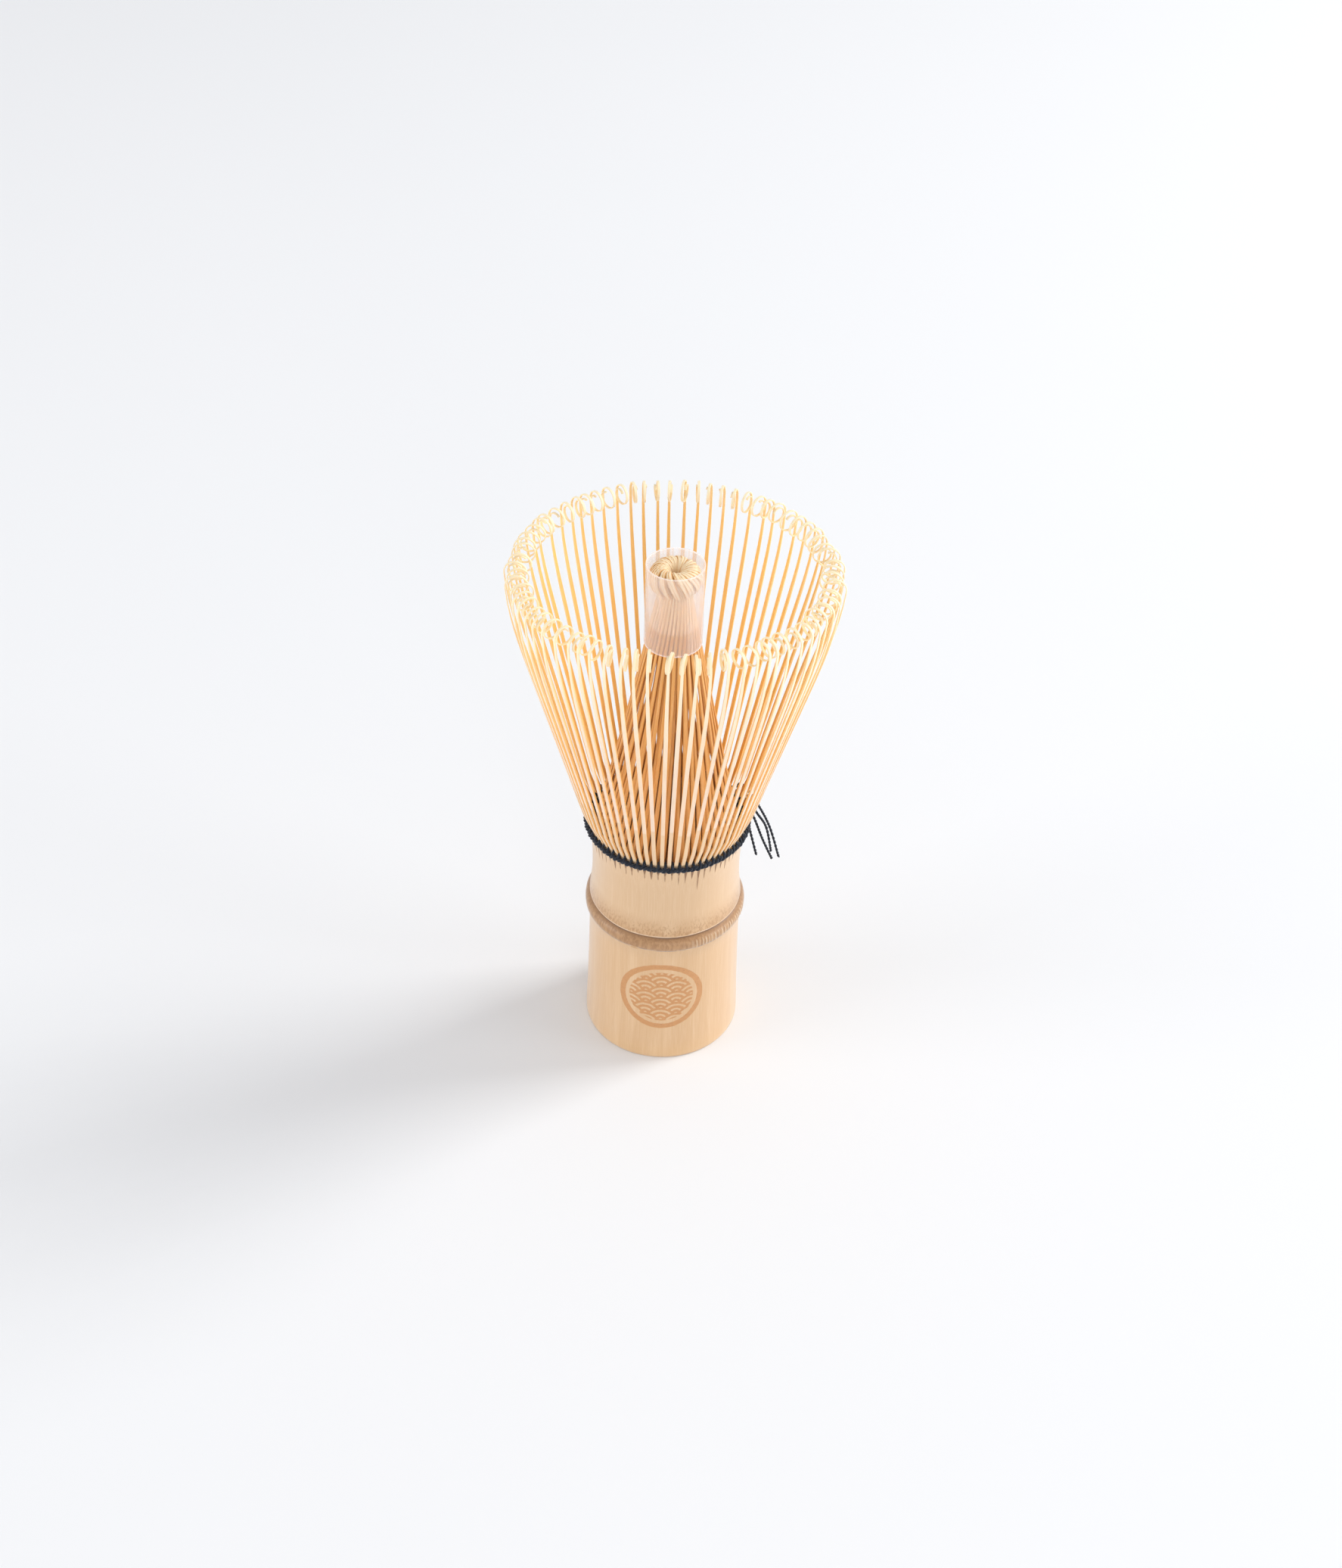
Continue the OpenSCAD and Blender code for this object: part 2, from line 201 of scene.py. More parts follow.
class Board:
    """The nodes of one material."""

    def __init__(self, name: str) -> None:
        """Starts an empty material of that name."""
        self.material = bpy.data.materials.new(name)
        self.material.use_nodes = True
        self.tree = self.material.node_tree
        self.tree.nodes.clear()

    def node(self, kind: str, settings: dict | None = None, inputs: dict | None = None) -> bpy.types.Node:
        """Adds a node.

        Args:
            kind: Its type.
            settings: Properties that are set first.
            inputs: Values, colours or signals by socket name or number.

        Returns:
            The node.
        """
        node = self.tree.nodes.new(kind)
        for key, value in (settings or {}).items():
            setattr(node, key, value)
        for key, value in (inputs or {}).items():
            if isinstance(value, Signal):
                self.tree.links.new(value.socket, node.inputs[key])
            elif isinstance(value, tuple) and len(value) == 3 and node.inputs[key].type == "RGBA":
                node.inputs[key].default_value = (*value, 1.0)
            else:
                node.inputs[key].default_value = value
        return node

    def math(self, operation: str, a: "Signal | float", b: "Signal | float" = 0.0) -> Signal:
        """One Math node."""
        node = self.node("ShaderNodeMath", {"operation": operation}, {0: a, 1: b})
        return Signal(self, node.outputs[0])

    def soft(self, value: Signal, low: float, high: float) -> Signal:
        """Smooth step of a value from 0 at low to 1 at high, or from 1 to 0 where high is the lower."""
        flip = high < low
        settings = {"interpolation_type": "SMOOTHSTEP"}
        ends = (high, low) if flip else (low, high)
        node = self.node("ShaderNodeMapRange", settings, {0: value, 1: ends[0], 2: ends[1]})
        step = Signal(self, node.outputs[0])
        return 1 - step if flip else step

    def band(self, value: Signal, centre: "Signal | float", half: float, edge: float) -> Signal:
        """1 within half of the centre, falling to 0 over the edge beyond."""
        away = self.math("ABSOLUTE", value - centre)
        return self.soft(away, half + edge, half)

    def mix(self, factor: "Signal | float", a: "Signal | Colour", b: "Signal | Colour") -> Signal:
        """Mixes two colours."""
        node = self.node("ShaderNodeMix", {"data_type": "RGBA"}, {0: factor, 6: a, 7: b})
        return Signal(self, node.outputs[2])

    def paint(self, colour: "Signal | Colour", *coats: tuple) -> Signal:
        """Lays coats of (cover, colour) over a colour, one after another."""
        for cover, coat in coats:
            colour = self.mix(cover, colour, coat)
        return colour

    def place(self) -> Signal:
        """Object coordinates, in millimetres."""
        source = self.node("ShaderNodeTexCoord").outputs["Object"]
        return self.stretch(Signal(self, source), (1 / MM, 1 / MM, 1 / MM))

    def stretch(self, vector: Signal, scale: Colour) -> Signal:
        """Scales a vector on each axis."""
        node = self.node("ShaderNodeVectorMath", {"operation": "MULTIPLY"}, {0: vector, 1: scale})
        return Signal(self, node.outputs[0])

    def axes(self, vector: Signal) -> tuple[Signal, Signal, Signal]:
        """Splits a vector into its three numbers."""
        node = self.node("ShaderNodeSeparateXYZ", inputs={0: vector})
        return tuple(Signal(self, node.outputs[k]) for k in range(3))

    def vector(self, x: "Signal | float", y: "Signal | float", z: "Signal | float") -> Signal:
        """Joins three numbers into a vector."""
        return Signal(self, self.node("ShaderNodeCombineXYZ", inputs={0: x, 1: y, 2: z}).outputs[0])

    def attribute(self, name: str) -> Signal:
        """A number that the mesh carries."""
        node = self.node("ShaderNodeAttribute", {"attribute_name": name, "attribute_type": "GEOMETRY"})
        return Signal(self, node.outputs["Fac"])

    def noise(self, vector: Signal, scale: float, detail: float = 3.0, rough: float = 0.55) -> Signal:
        """Cloudy noise from 0 to 1."""
        inputs = {"Vector": vector, "Scale": scale, "Detail": detail, "Roughness": rough}
        return Signal(self, self.node("ShaderNodeTexNoise", inputs=inputs).outputs[0])

    def grain(self, vector: Signal, upright: float, *noise: float) -> Signal:
        """Noise whose height is scaled, so that it runs out into upright streaks."""
        return self.noise(self.stretch(vector, (1.0, 1.0, upright)), *noise)

    def surface(
        self, inputs: dict, height: Signal | None = None, bump: float = 0.3, depth: float = 0.05 * MM
    ) -> None:
        """Ends the material in a Principled shader.

        Args:
            inputs: Its sockets by name.
            height: Height pattern that a Bump node turns into the normal, if any.
            bump: Strength of the bump.
            depth: Distance that a height of 1 stands for.
        """
        shader = self.node("ShaderNodeBsdfPrincipled", inputs=inputs)
        if height is not None:
            relief = {"Strength": bump, "Distance": depth, "Height": height}
            node = self.node("ShaderNodeBump", inputs=relief)
            self.tree.links.new(node.outputs[0], shader.inputs["Normal"])
        out = self.node("ShaderNodeOutputMaterial")
        self.tree.links.new(shader.outputs[0], out.inputs[0])


# ---- finishes


@dataclass(frozen=True)
class BurntSeal:
    """A generic roundel of overlapping wave fans, burnt into the culm's front."""

    centre_z: float = 16.2
    radius: float = 8.2
    fan_r: float = 2.9
    rim_w: float = 0.55
    culm_r: float = 14.4

    def mask(self, board: Board, x: Signal, y: Signal, z: Signal) -> Signal:
        """Draws the roundel.

        Args:
            board: Board of the culm's material.
            x: Place across, in millimetres.
            y: Place in depth, in millimetres.
            z: Height, in millimetres.

        Returns:
            1 where the skin is burnt, else 0.
        """
        across = board.math("ARCTAN2", x, 0 - y) * self.culm_r
        up = z - self.centre_z
        wobble = board.noise(board.vector(across, up, 0.0), 0.9) - 0.5
        out = board.math("SQRT", across * across + up * up) + wobble * 0.22
        disc = board.soft(out, self.radius + 0.08, self.radius - 0.08)
        rim = board.band(out, self.radius - self.rim_w, self.rim_w, 0.12)
        fans = self._fans(board, across + wobble * 0.3, up + wobble * 0.3)
        inside = board.soft(out, self.radius - 1.9, self.radius - 2.1)
        return board.math("MAXIMUM", rim, fans * inside) * disc

    def _fans(self, board: Board, across: Signal, up: Signal) -> Signal:
        """Rows of half-hidden circles, each with two arcs inside it."""
        row_h = self.fan_r / 2
        row = board.math("FLOOR", up / row_h)
        reach = None
        for step in (1.0, 0.0, -1.0):
            index = row + step
            shift = board.math("PINGPONG", index, 1.0) * self.fan_r
            side = board.math("PINGPONG", across + shift + 40 * self.fan_r, self.fan_r)
            rise = up - index * row_h
            distance = board.math("SQRT", side * side + rise * rise)
            covers = distance < self.fan_r
            reach = distance if reach is None else board.math("ADD", covers * distance, (1 - covers) * reach)
        lines = [board.band(reach, self.fan_r * share, 0.24, 0.1) for share in (0.92, 0.56, 0.2)]
        return board.math("MAXIMUM", board.math("MAXIMUM", lines[0], lines[1]), lines[2])


@dataclass(frozen=True)
class CulmSkin:
    """Dry bamboo skin with fine upright fibres and a dark node, with painted shade in the nicks and round
    the node's ridge, and painted highlights on its groove's lip and scales.
    """

    body: Colour = (0.655, 0.42, 0.225)
    pale: Colour = (0.73, 0.50, 0.295)
    upper: Colour = (0.665, 0.455, 0.27)
    light_fibre: Colour = (0.93, 0.78, 0.58)
    dark_fibre: Colour = (0.56, 0.34, 0.17)
    foot_tan: Colour = (0.72, 0.46, 0.20)
    ridge: Colour = (0.34, 0.175, 0.075)
    ridge_streak: Colour = (0.49, 0.28, 0.13)
    ridge_top: Colour = (0.30, 0.155, 0.07)
    # dark line under the ridge's lower edge: partly the skin's brown, partly painted shadow under the ridge
    ridge_foot_shadow: Colour = (0.16, 0.08, 0.04)
    # painted shade in a band under the node's ridge
    under_ridge_shade: Colour = (0.48, 0.32, 0.18)
    # painted shade in the groove above the ridge
    groove: Colour = (0.24, 0.15, 0.10)
    # painted highlight along the groove's upper edge
    groove_lip_highlight: Colour = (0.86, 0.74, 0.64)
    speckle: Colour = (0.34, 0.155, 0.06)
    soot: Colour = (0.50, 0.28, 0.125)
    # painted highlight on the scales of the ridge's lit side
    scale: Colour = (0.90, 0.74, 0.54)
    # painted shade: dark wedge in the notch under each gap between the tines
    gap_shade: Colour = (0.23, 0.11, 0.045)
    # painted shade on the faces of the V-notch at each gap between the tines
    nick: Colour = (0.30, 0.15, 0.065)
    burn: Colour = (0.50, 0.22, 0.075)
    burn_blotch: Colour = (0.62, 0.31, 0.115)
    burn_speck: Colour = (0.22, 0.10, 0.04)
    wood: Colour = (0.68, 0.47, 0.27)
    wood_dot: Colour = (0.38, 0.21, 0.09)
    groove_z: float = 31.2
    ridge_z: float = 29.9
    top_z: float = 48.0
    top_r: float = 14.4
    gap_shade_half: float = 0.36
    seal: BurntSeal = BurntSeal()

    def build(self) -> bpy.types.Material:
        """Makes the material."""
        board = Board("bamboo_culm_skin")
        place = board.place()
        x, y, z = board.axes(place)
        fine = board.grain(place, 0.012, 5.2, 4.0, 0.7)
        broad = board.grain(place, 0.03, 0.55, 2.0)
        cloud = board.grain(place, 0.5, 0.22, 3.0)
        above = board.soft(z + cloud * 2.0, self.groove_z + 0.4, self.groove_z + 3.0)
        colour = board.paint(
            self.body,
            (board.soft(broad, 0.4, 0.75) * 0.7, self.pale),
            (above * 0.75, self.upper),
            (board.soft(z, 41.0, 48.0) * 0.4, self.pale),
            (board.soft(fine, 0.45, 0.75) * 0.17, self.light_fibre),
            (board.soft(fine, 0.48, 0.25) * 0.15, self.dark_fibre),
            (board.soft(z, 5.0, 0.0) * 0.25, self.foot_tan),
        )
        colour = self._node_marks(board, colour, place, z, cloud, fine)
        colour = self._gap_shade_wedges(board, colour, x, y, z)
        burnt = self.seal.mask(board, x, y, z)
        specks = board.soft(board.noise(place, 4.5, 2.0), 0.66, 0.72) * 0.7
        blotches = board.noise(place, 1.6, 3.0)
        ink = board.paint(self.burn, (blotches, self.burn_blotch), (specks, self.burn_speck))
        inner = board.attribute("inside")
        dots = board.soft(board.grain(place, 0.05, 3.5, 2.0), 0.56, 0.66)
        colour = board.paint(
            colour,
            # the notch faces of the nicks take painted shade
            (board.soft(board.attribute("nick"), 0.02, 0.75), self.nick),
            (burnt * 0.94, ink),
            (inner, board.mix(dots * 0.45, self.wood, self.wood_dot)),
        )
        height = fine * 0.6 - burnt * 0.9 + board.noise(place, 2.0, 2.0) * 0.25
        inputs = {
            "Base Color": colour,
            "Roughness": 0.36 + inner * 0.3 + burnt * 0.14 + (1 - fine) * 0.1,
            "Specular IOR Level": 0.42,
            "Coat Weight": 0.15,
            "Coat Roughness": 0.38,
            "Sheen Weight": 0.5,
            "Sheen Roughness": 0.4,
        }
        board.surface(inputs, height, 0.35)
        return board.material

    def _gap_shade_wedges(self, board: Board, colour: Signal, x: Signal, y: Signal, z: Signal) -> Signal:
        """Paints a brown wedge of painted shade into the notch under each gap between the tines, every one
        of its own length.
        """
        angle = board.math("ARCTAN2", y, x)
        gap = board.math("ROUND", angle / PITCH)
        beside = board.math("ABSOLUTE", angle - gap * PITCH) * self.top_r
        own = board.noise(board.vector(gap * 3.7, 0.5, 0.5), 1.0, 0.0)
        length = 1.6 + board.soft(own, 0.3, 0.75) * 2.2
        up = (z - self.top_z + length) / length
        wedge = board.soft(beside - up * self.gap_shade_half, 0.09, -0.05) * board.soft(up, 0.0, 0.35)
        return board.mix(wedge * 0.9, colour, self.gap_shade)

    def _node_marks(
        self, board: Board, colour: Signal, place: Signal, z: Signal, cloud: Signal, fine: Signal
    ) -> Signal:
        """Darkens the node's ridge and speckles the skin above it; paints shade in the groove and under the
        ridge, and highlights on the groove's lip and the ridge's scales.
        """
        high = z + (board.grain(place, 0.0, 0.12, 1.0) - 0.5) * 0.5
        ridge = board.soft(high, self.ridge_z - 1.75, self.ridge_z - 1.0) * board.soft(high, 31.3, 31.05)
        streak = board.soft(board.grain(place, 0.25, 2.2, 4.0), 0.35, 0.65)
        ridge_colour = board.paint(
            self.ridge,
            (streak * 0.8, self.ridge_streak),
            (board.soft(high, 30.3, 31.1) * 0.6, self.ridge_top),
        )
        # ragged dark line under the ridge: partly brown skin, partly painted shadow
        ridge_foot_shadow = board.band(high, self.ridge_z - 1.45, 0.16, 0.3)
        ragged = board.soft(board.noise(place, 0.7, 3.0), 0.3, 0.6)
        # mask of the painted shade under the ridge
        shade = board.soft(z, self.ridge_z - 5.0, self.ridge_z - 1.6) * board.soft(z, 28.6, 28.2)
        near = board.soft(z, 36.5, 31.9) * board.soft(z, 31.5, 31.8)
        speckle = board.soft(board.grain(place, 0.45, 3.0, 3.0, 0.65) + near * 0.14, 0.54, 0.78)
        return board.paint(
            colour,
            (ridge * 0.95, ridge_colour),
            (ridge_foot_shadow * ragged * 0.75, self.ridge_foot_shadow),
            (shade * 0.22, self.under_ridge_shade),
            # painted shade in the groove
            (board.band(high, self.groove_z, 0.12, 0.14) * 0.8, self.groove),
            # painted highlight on the groove's lip
            (board.band(high, self.groove_z + 0.34, 0.05, 0.12) * ragged * 0.35, self.groove_lip_highlight),
            (near * speckle * 0.7, self.speckle),
            (near * board.soft(cloud + fine * 0.3, 0.4, 0.75) * 0.55, self.soot),
            # painted highlight on the ridge's scales
            (board.attribute("scale"), self.scale),
        )


@dataclass(frozen=True)
class SplitBamboo:
    """Split bamboo: a skin face that is scraped pale above the root, and a golden inner face."""

    name: str
    root_skin: Colour
    scraped: Colour
    pith: Colour
    side: Colour
    tip: Colour
    step_at: float
    tip_from: float
    tip_to: float
    curl_from: float
    root_shade: float
    edge_shade: float
    light_fibre: Colour = (0.96, 0.84, 0.64)
    dark_fibre: Colour = (0.62, 0.34, 0.12)
    own_tone: Colour = (0.90, 0.62, 0.30)
    # colour of the painted shade near the roots, deep inside the crown
    root_shade_tone: Colour = (0.45, 0.23, 0.09)

    def build(self) -> bpy.types.Material:
        """Makes the material."""
        board = Board(self.name)
        along = board.attribute("along")
        across = board.attribute("across")
        tint = board.attribute("tint")
        face = board.attribute("face")
        fibre = board.noise(board.vector(across, along * 0.035, tint * 37.0), 4.5, 4.0, 0.65)
        patch = board.noise(board.vector(across * 0.2, along * 0.12, tint * 91.0), 1.0, 2.0)
        scraped = board.soft(along + tint * 1.6, self.step_at - 0.3, self.step_at + 0.3)
        patchy = board.soft(patch, 0.5, 0.75) * 0.35
        skin = board.paint(self.root_skin, (scraped, self.scraped), (patchy, self.root_skin))
        inner = board.mix(board.soft(patch, 0.35, 0.7) * 0.4, self.pith, self.side)
        edge = board.mix(board.soft(fibre, 0.35, 0.7) * 0.6, self.side, self.pith)
        tip = board.soft(along, self.curl_from, self.curl_from + 9.0)
        paling = board.soft(along, self.tip_from, self.tip_to) * (face * 0.55 + 0.08)
        edge_line = board.soft(board.attribute("edge"), 0.25, 0.9)
        colour = board.paint(
            inner,
            (board.soft(face, 0.2, 0.3), edge),
            (board.soft(face, 0.7, 0.8), skin),
            (board.soft(fibre, 0.5, 0.75) * 0.22, self.light_fibre),
            (board.soft(fibre, 0.45, 0.25) * 0.12, self.dark_fibre),
            (board.soft(tint, 0.0, 0.9) * 0.16, self.own_tone),
            (paling, self.tip),
            (tip * (face * 0.2 + 0.6), self.tip),
            # painted shade near the root
            (board.soft(along, 9.0, 0.0) * self.root_shade, self.root_shade_tone),
            (edge_line * (0.3 + tip * 0.7) * self.edge_shade, self.side),
        )
        rough = 0.62 - board.soft(face, 0.7, 0.8) * 0.16
        inputs = {
            "Base Color": colour,
            "Roughness": rough,
            "Specular IOR Level": 0.4,
            "Subsurface Weight": 0.12,
            "Subsurface Radius": (1.0, 0.55, 0.25),
            "Subsurface Scale": 0.4 * MM,
        }
        board.surface(inputs, fibre, 0.3, 0.03 * MM)
        return board.material


@dataclass(frozen=True)
class NavyThread:
    """Twisted cotton thread, dark navy."""

    deep: Colour = (0.009, 0.013, 0.024)
    worn: Colour = (0.045, 0.06, 0.085)

    def build(self) -> bpy.types.Material:
        """Makes the material."""
        board = Board("navy_thread")
        place = board.place()
        lint = board.noise(place, 7.0, 3.0, 0.7)
        patch = board.noise(place, 1.1, 2.0)
        fluff, rubbed = board.soft(lint, 0.45, 0.8) * 0.8, board.soft(patch, 0.5, 0.8) * 0.4
        colour = board.paint(self.deep, (fluff, self.worn), (rubbed, self.worn))
        inputs = {"Base Color": colour, "Roughness": 0.85, "Sheen Weight": 0.25, "Specular IOR Level": 0.25}
        board.surface(inputs, lint, 0.5, 0.06 * MM)
        return board.material


@dataclass(frozen=True)
class SleeveFilm:
    """Thin frosted film, clearer across its wall than along its cut edges."""

    tint: Colour = (0.99, 0.965, 0.985)
    wall_glow: Colour = (0.03, 0.028, 0.029)
    rim_glow: Colour = (0.16, 0.155, 0.16)
    cover: float = 0.38
    most_cover: float = 0.95
    see_through: float = 0.72

    def build(self) -> bpy.types.Material:
        """Makes the material."""
        board = Board("clear_film")
        place = board.place()
        rim = board.attribute("rim")
        haze = board.noise(place, 0.35, 3.0)
        scratch = board.grain(place, 0.25, 2.6, 4.0, 0.7)
        marks = board.soft(scratch, 0.66, 0.74) * 0.10
        alpha = board.math("MINIMUM", self.cover + haze * 0.1 + marks + rim * 0.4, self.most_cover)
        inputs = {
            "Base Color": self.tint,
            "Roughness": 0.14 + haze * 0.06,
            "Alpha": alpha,
            "IOR": 1.38,
            "Transmission Weight": self.see_through,
            "Emission Color": board.mix(rim, self.wall_glow, self.rim_glow),
            "Emission Strength": 1.0,
        }
        board.surface(inputs, scratch, 0.02, 0.005 * MM)
        return board.material


@dataclass(frozen=True)
class PaleFloor:
    """Plain pale floor."""

    colour: Colour = (0.87, 0.885, 0.905)
    drifted: Colour = (0.89, 0.90, 0.915)

    def build(self) -> bpy.types.Material:
        """Makes the material."""
        board = Board("pale_floor")
        place = board.place()
        drift = board.noise(place, 0.01, 1.0)
        colour = board.mix(drift * 0.3, self.colour, self.drifted)
        board.surface({"Base Color": colour, "Roughness": 0.75, "Specular IOR Level": 0.2})
        return board.material


OUTER_BAMBOO = SplitBamboo(
    name="outer_tine_bamboo",
    root_skin=(0.80, 0.575, 0.37),
    scraped=(0.87, 0.68, 0.53),
    pith=(0.99, 0.58, 0.14),
    side=(0.93, 0.55, 0.19),
    tip=(0.97, 0.85, 0.60),
    step_at=13.0,
    tip_from=20.0,
    tip_to=56.0,
    curl_from=49.0,
    root_shade=0.10,
    edge_shade=0.0,
)
INNER_BAMBOO = SplitBamboo(
    name="inner_tine_bamboo",
    root_skin=(0.90, 0.59, 0.31),
    scraped=(0.97, 0.67, 0.39),
    pith=(0.88, 0.50, 0.19),
    side=(0.74, 0.37, 0.10),
    tip=(1.0, 0.81, 0.55),
    step_at=20.0,
    tip_from=47.0,
    tip_to=55.0,
    curl_from=47.0,
    root_shade=0.2,
    edge_shade=0.9,
)


# ---- bench


class Bench:
    """Modelling by operators, and the last steps that every piece goes through."""

    @staticmethod
    def clear() -> None:
        """Deselects everything."""
        bpy.ops.object.select_all(action="DESELECT")

    @staticmethod
    def only(*objects: bpy.types.Object) -> None:
        """Selects just these objects and makes the first one active."""
        bpy.ops.object.select_all(action="DESELECT")
        for item in objects:
            item.select_set(True)
        bpy.context.view_layer.objects.active = objects[0]

    @staticmethod
    def add(name: str, data: bpy.types.ID) -> bpy.types.Object:
        """Puts a new object into the scene."""
        made = bpy.data.objects.new(name, data)
        bpy.context.scene.collection.objects.link(made)
        return made

    @staticmethod
    def edit() -> None:
        """Enters edit mode with vertices as what is picked."""
        bpy.ops.object.mode_set(mode="EDIT")
        bpy.ops.mesh.select_mode(type="VERT")

    @staticmethod
    def done() -> bpy.types.Object:
        """Leaves edit mode."""
        bpy.ops.object.mode_set(mode="OBJECT")
        return bpy.context.active_object

    @staticmethod
    def pick(test: Callable[[Vector], bool]) -> None:
        """Selects the vertices whose place passes the test."""
        mesh = bpy.context.active_object.data
        shape = bmesh.from_edit_mesh(mesh)
        for part in (*shape.faces, *shape.edges, *shape.verts):
            part.select = False
        for vertex in shape.verts:
            vertex.select = test(vertex.co)
        shape.select_flush(True)
        bmesh.update_edit_mesh(mesh)

    @staticmethod
    def pull(step: Sequence[float]) -> None:
        """Extrudes what is selected by a step."""
        bpy.ops.mesh.extrude_region_move(TRANSFORM_OT_translate={"value": tuple(step)})

    @staticmethod
    def turn(angle: float, axis: str, centre: Sequence[float]) -> None:
        """Turns what is selected, in radians; the operator's own sense is the other way round."""
        bpy.ops.transform.rotate(value=-angle, orient_axis=axis, center_override=tuple(centre))

    @staticmethod
    def size(scale: Sequence[float], centre: Sequence[float] = (0.0, 0.0, 0.0)) -> None:
        """Scales what is selected."""
        bpy.ops.transform.resize(value=tuple(scale), center_override=tuple(centre))

    @staticmethod
    def modify(target: bpy.types.Object, kind: str, settings: dict) -> None:
        """Adds a modifier and applies it."""
        Bench.only(target)
        modifier = target.modifiers.new(kind.lower(), kind)
        for key, value in settings.items():
            setattr(modifier, key, value)
        bpy.ops.object.modifier_apply(modifier=modifier.name)

    @staticmethod
    def face_outwards(target: bpy.types.Object) -> None:
        """Merges doubles, then recalculates the normals of a closed shape."""
        Bench.only(target)
        Bench.edit()
        bpy.ops.mesh.select_all(action="SELECT")
        bpy.ops.mesh.remove_doubles(threshold=0.001 * MM)
        bpy.ops.mesh.normals_make_consistent(inside=False)
        Bench.done()

    @staticmethod
    def numbers(target: bpy.types.Object, name: str, values: Sequence[float], domain: str = "POINT") -> None:
        """Stores one number for each vertex or face."""
        layer = target.data.attributes.new(name, "FLOAT", domain)
        layer.data.foreach_set("value", np.asarray(values, dtype=np.float32))

    @staticmethod
    def points(target: bpy.types.Object) -> np.ndarray:
        """Places of an object's vertices."""
        return np.array([vertex.co for vertex in target.data.vertices], float).reshape(-1, 3)

    @staticmethod
    def move_points(target: bpy.types.Object, places: np.ndarray) -> None:
        """Gives every vertex its new place."""
        target.data.vertices.foreach_set("co", places.astype(np.float32).ravel())
        target.data.update()

    @staticmethod
    def finish(
        target: bpy.types.Object, name: str, material: bpy.types.Material, smooth: float | None = 40.0
    ) -> bpy.types.Object:
        """Names a piece, dresses it and shades it smooth up to an angle in degrees."""
        target.name = name
        target.data.name = name
        target.data.materials.clear()
        target.data.materials.append(material)
        if smooth is not None:
            Bench.only(target)
            bpy.ops.object.shade_smooth_by_angle(angle=math.radians(smooth))
        Bench.clear()
        return target

    @staticmethod
    def join(name: str, pieces: Sequence[bpy.types.Object]) -> bpy.types.Object:
        """Joins pieces into one object."""
        Bench.only(*pieces)
        bpy.ops.object.join()
        joined = bpy.context.active_object
        joined.name = name
        return joined


@dataclass
class Skein:
    """Swept shapes gathered into one mesh."""

    verts: list = field(default_factory=list)
    faces: list = field(default_factory=list)
    values: dict = field(default_factory=dict)

    def sweep(
        self,
        line: np.ndarray,
        sides: np.ndarray,
        section: Sequence[tuple[float, float]],
        scale: np.ndarray | None = None,
        closed: bool = False,
        **values: np.ndarray | float,
    ) -> None:
        """Adds one swept shape.

        Args:
            line: Points of the centre line.
            sides: Direction of the section's first axis at each point.
            section: Outline as (sideways, outwards) pairs, counter-clockwise along the line.
            scale: Two factors for each point that widen the section, if it changes.
            closed: Whether the line runs back into its start.
            values: Numbers to store, one for each point of the line or one for all.
        """
        count, ring = len(line), len(section)
        tangent = tangents(line, closed)
        side = sides - (sides * tangent).sum(1)[:, None] * tangent
        side /= np.linalg.norm(side, axis=1)[:, None]
        up = np.cross(tangent, side)
        scale = np.ones((count, 2)) if scale is None else scale
        outline = np.array(section)
        rings = (
            line[:, None, :]
            + outline[None, :, 0:1] * scale[:, None, 0:1] * side[:, None, :]
            + outline[None, :, 1:2] * scale[:, None, 1:2] * up[:, None, :]
        )
        base = len(self.verts)
        self.verts.extend(rings.reshape(-1, 3).tolist())
        last = count if closed else count - 1
        for k in range(last):
            low, high = base + k * ring, base + (k + 1) % count * ring
            for j in range(ring):
                after = (j + 1) % ring
                self.faces.append((low + j, low + after, high + after, high + j))
        if not closed:
            self.faces.append(tuple(range(base + ring - 1, base - 1, -1)))
            self.faces.append(tuple(range(base + (count - 1) * ring, base + count * ring)))
        for name, value in values.items():
            spread = np.broadcast_to(np.asarray(value, float), (count,))
            self.values.setdefault(name, []).extend(np.repeat(spread, ring).tolist())
        widths = outline[None, :, 0] * scale[:, None, 0]
        self.values.setdefault("across", []).extend((widths / MM).ravel().tolist())
        edges = np.abs(outline[:, 0]) / np.abs(outline[:, 0]).max()
        self.values.setdefault("edge", []).extend(np.tile(edges, count).tolist())

    def make(self, name: str) -> bpy.types.Object:
        """Turns what was gathered into an object."""
        mesh = bpy.data.meshes.new(name)
        mesh.from_pydata(self.verts, [], self.faces)
        mesh.validate()
        made = Bench.add(name, mesh)
        for key, value in self.values.items():
            Bench.numbers(made, key, value)
        return made


def round_section(radius: float, sides: int) -> list[tuple[float, float]]:
    """Outline of a round thread."""
    angles = [math.tau * k / sides for k in range(sides)]
    return [(radius * math.cos(angle), radius * math.sin(angle)) for angle in angles]


def through(points: np.ndarray, count: int) -> np.ndarray:
    """Smooth line of count places through a few points, starting and ending on the first and last."""
    padded = np.vstack([points[:1], points, points[-1:]])
    out = []
    for share in np.linspace(0, len(points) - 1, count):
        k = min(int(share), len(points) - 2)
        u = share - k
        a, b, c, d = padded[k : k + 4]
        bend = (2 * a - 5 * b + 4 * c - d) * u * u / 2 + (3 * b - a - 3 * c + d) * u**3 / 2
        out.append(b + u / 2 * (c - a) + bend)
    return np.array(out)


# ---- culm


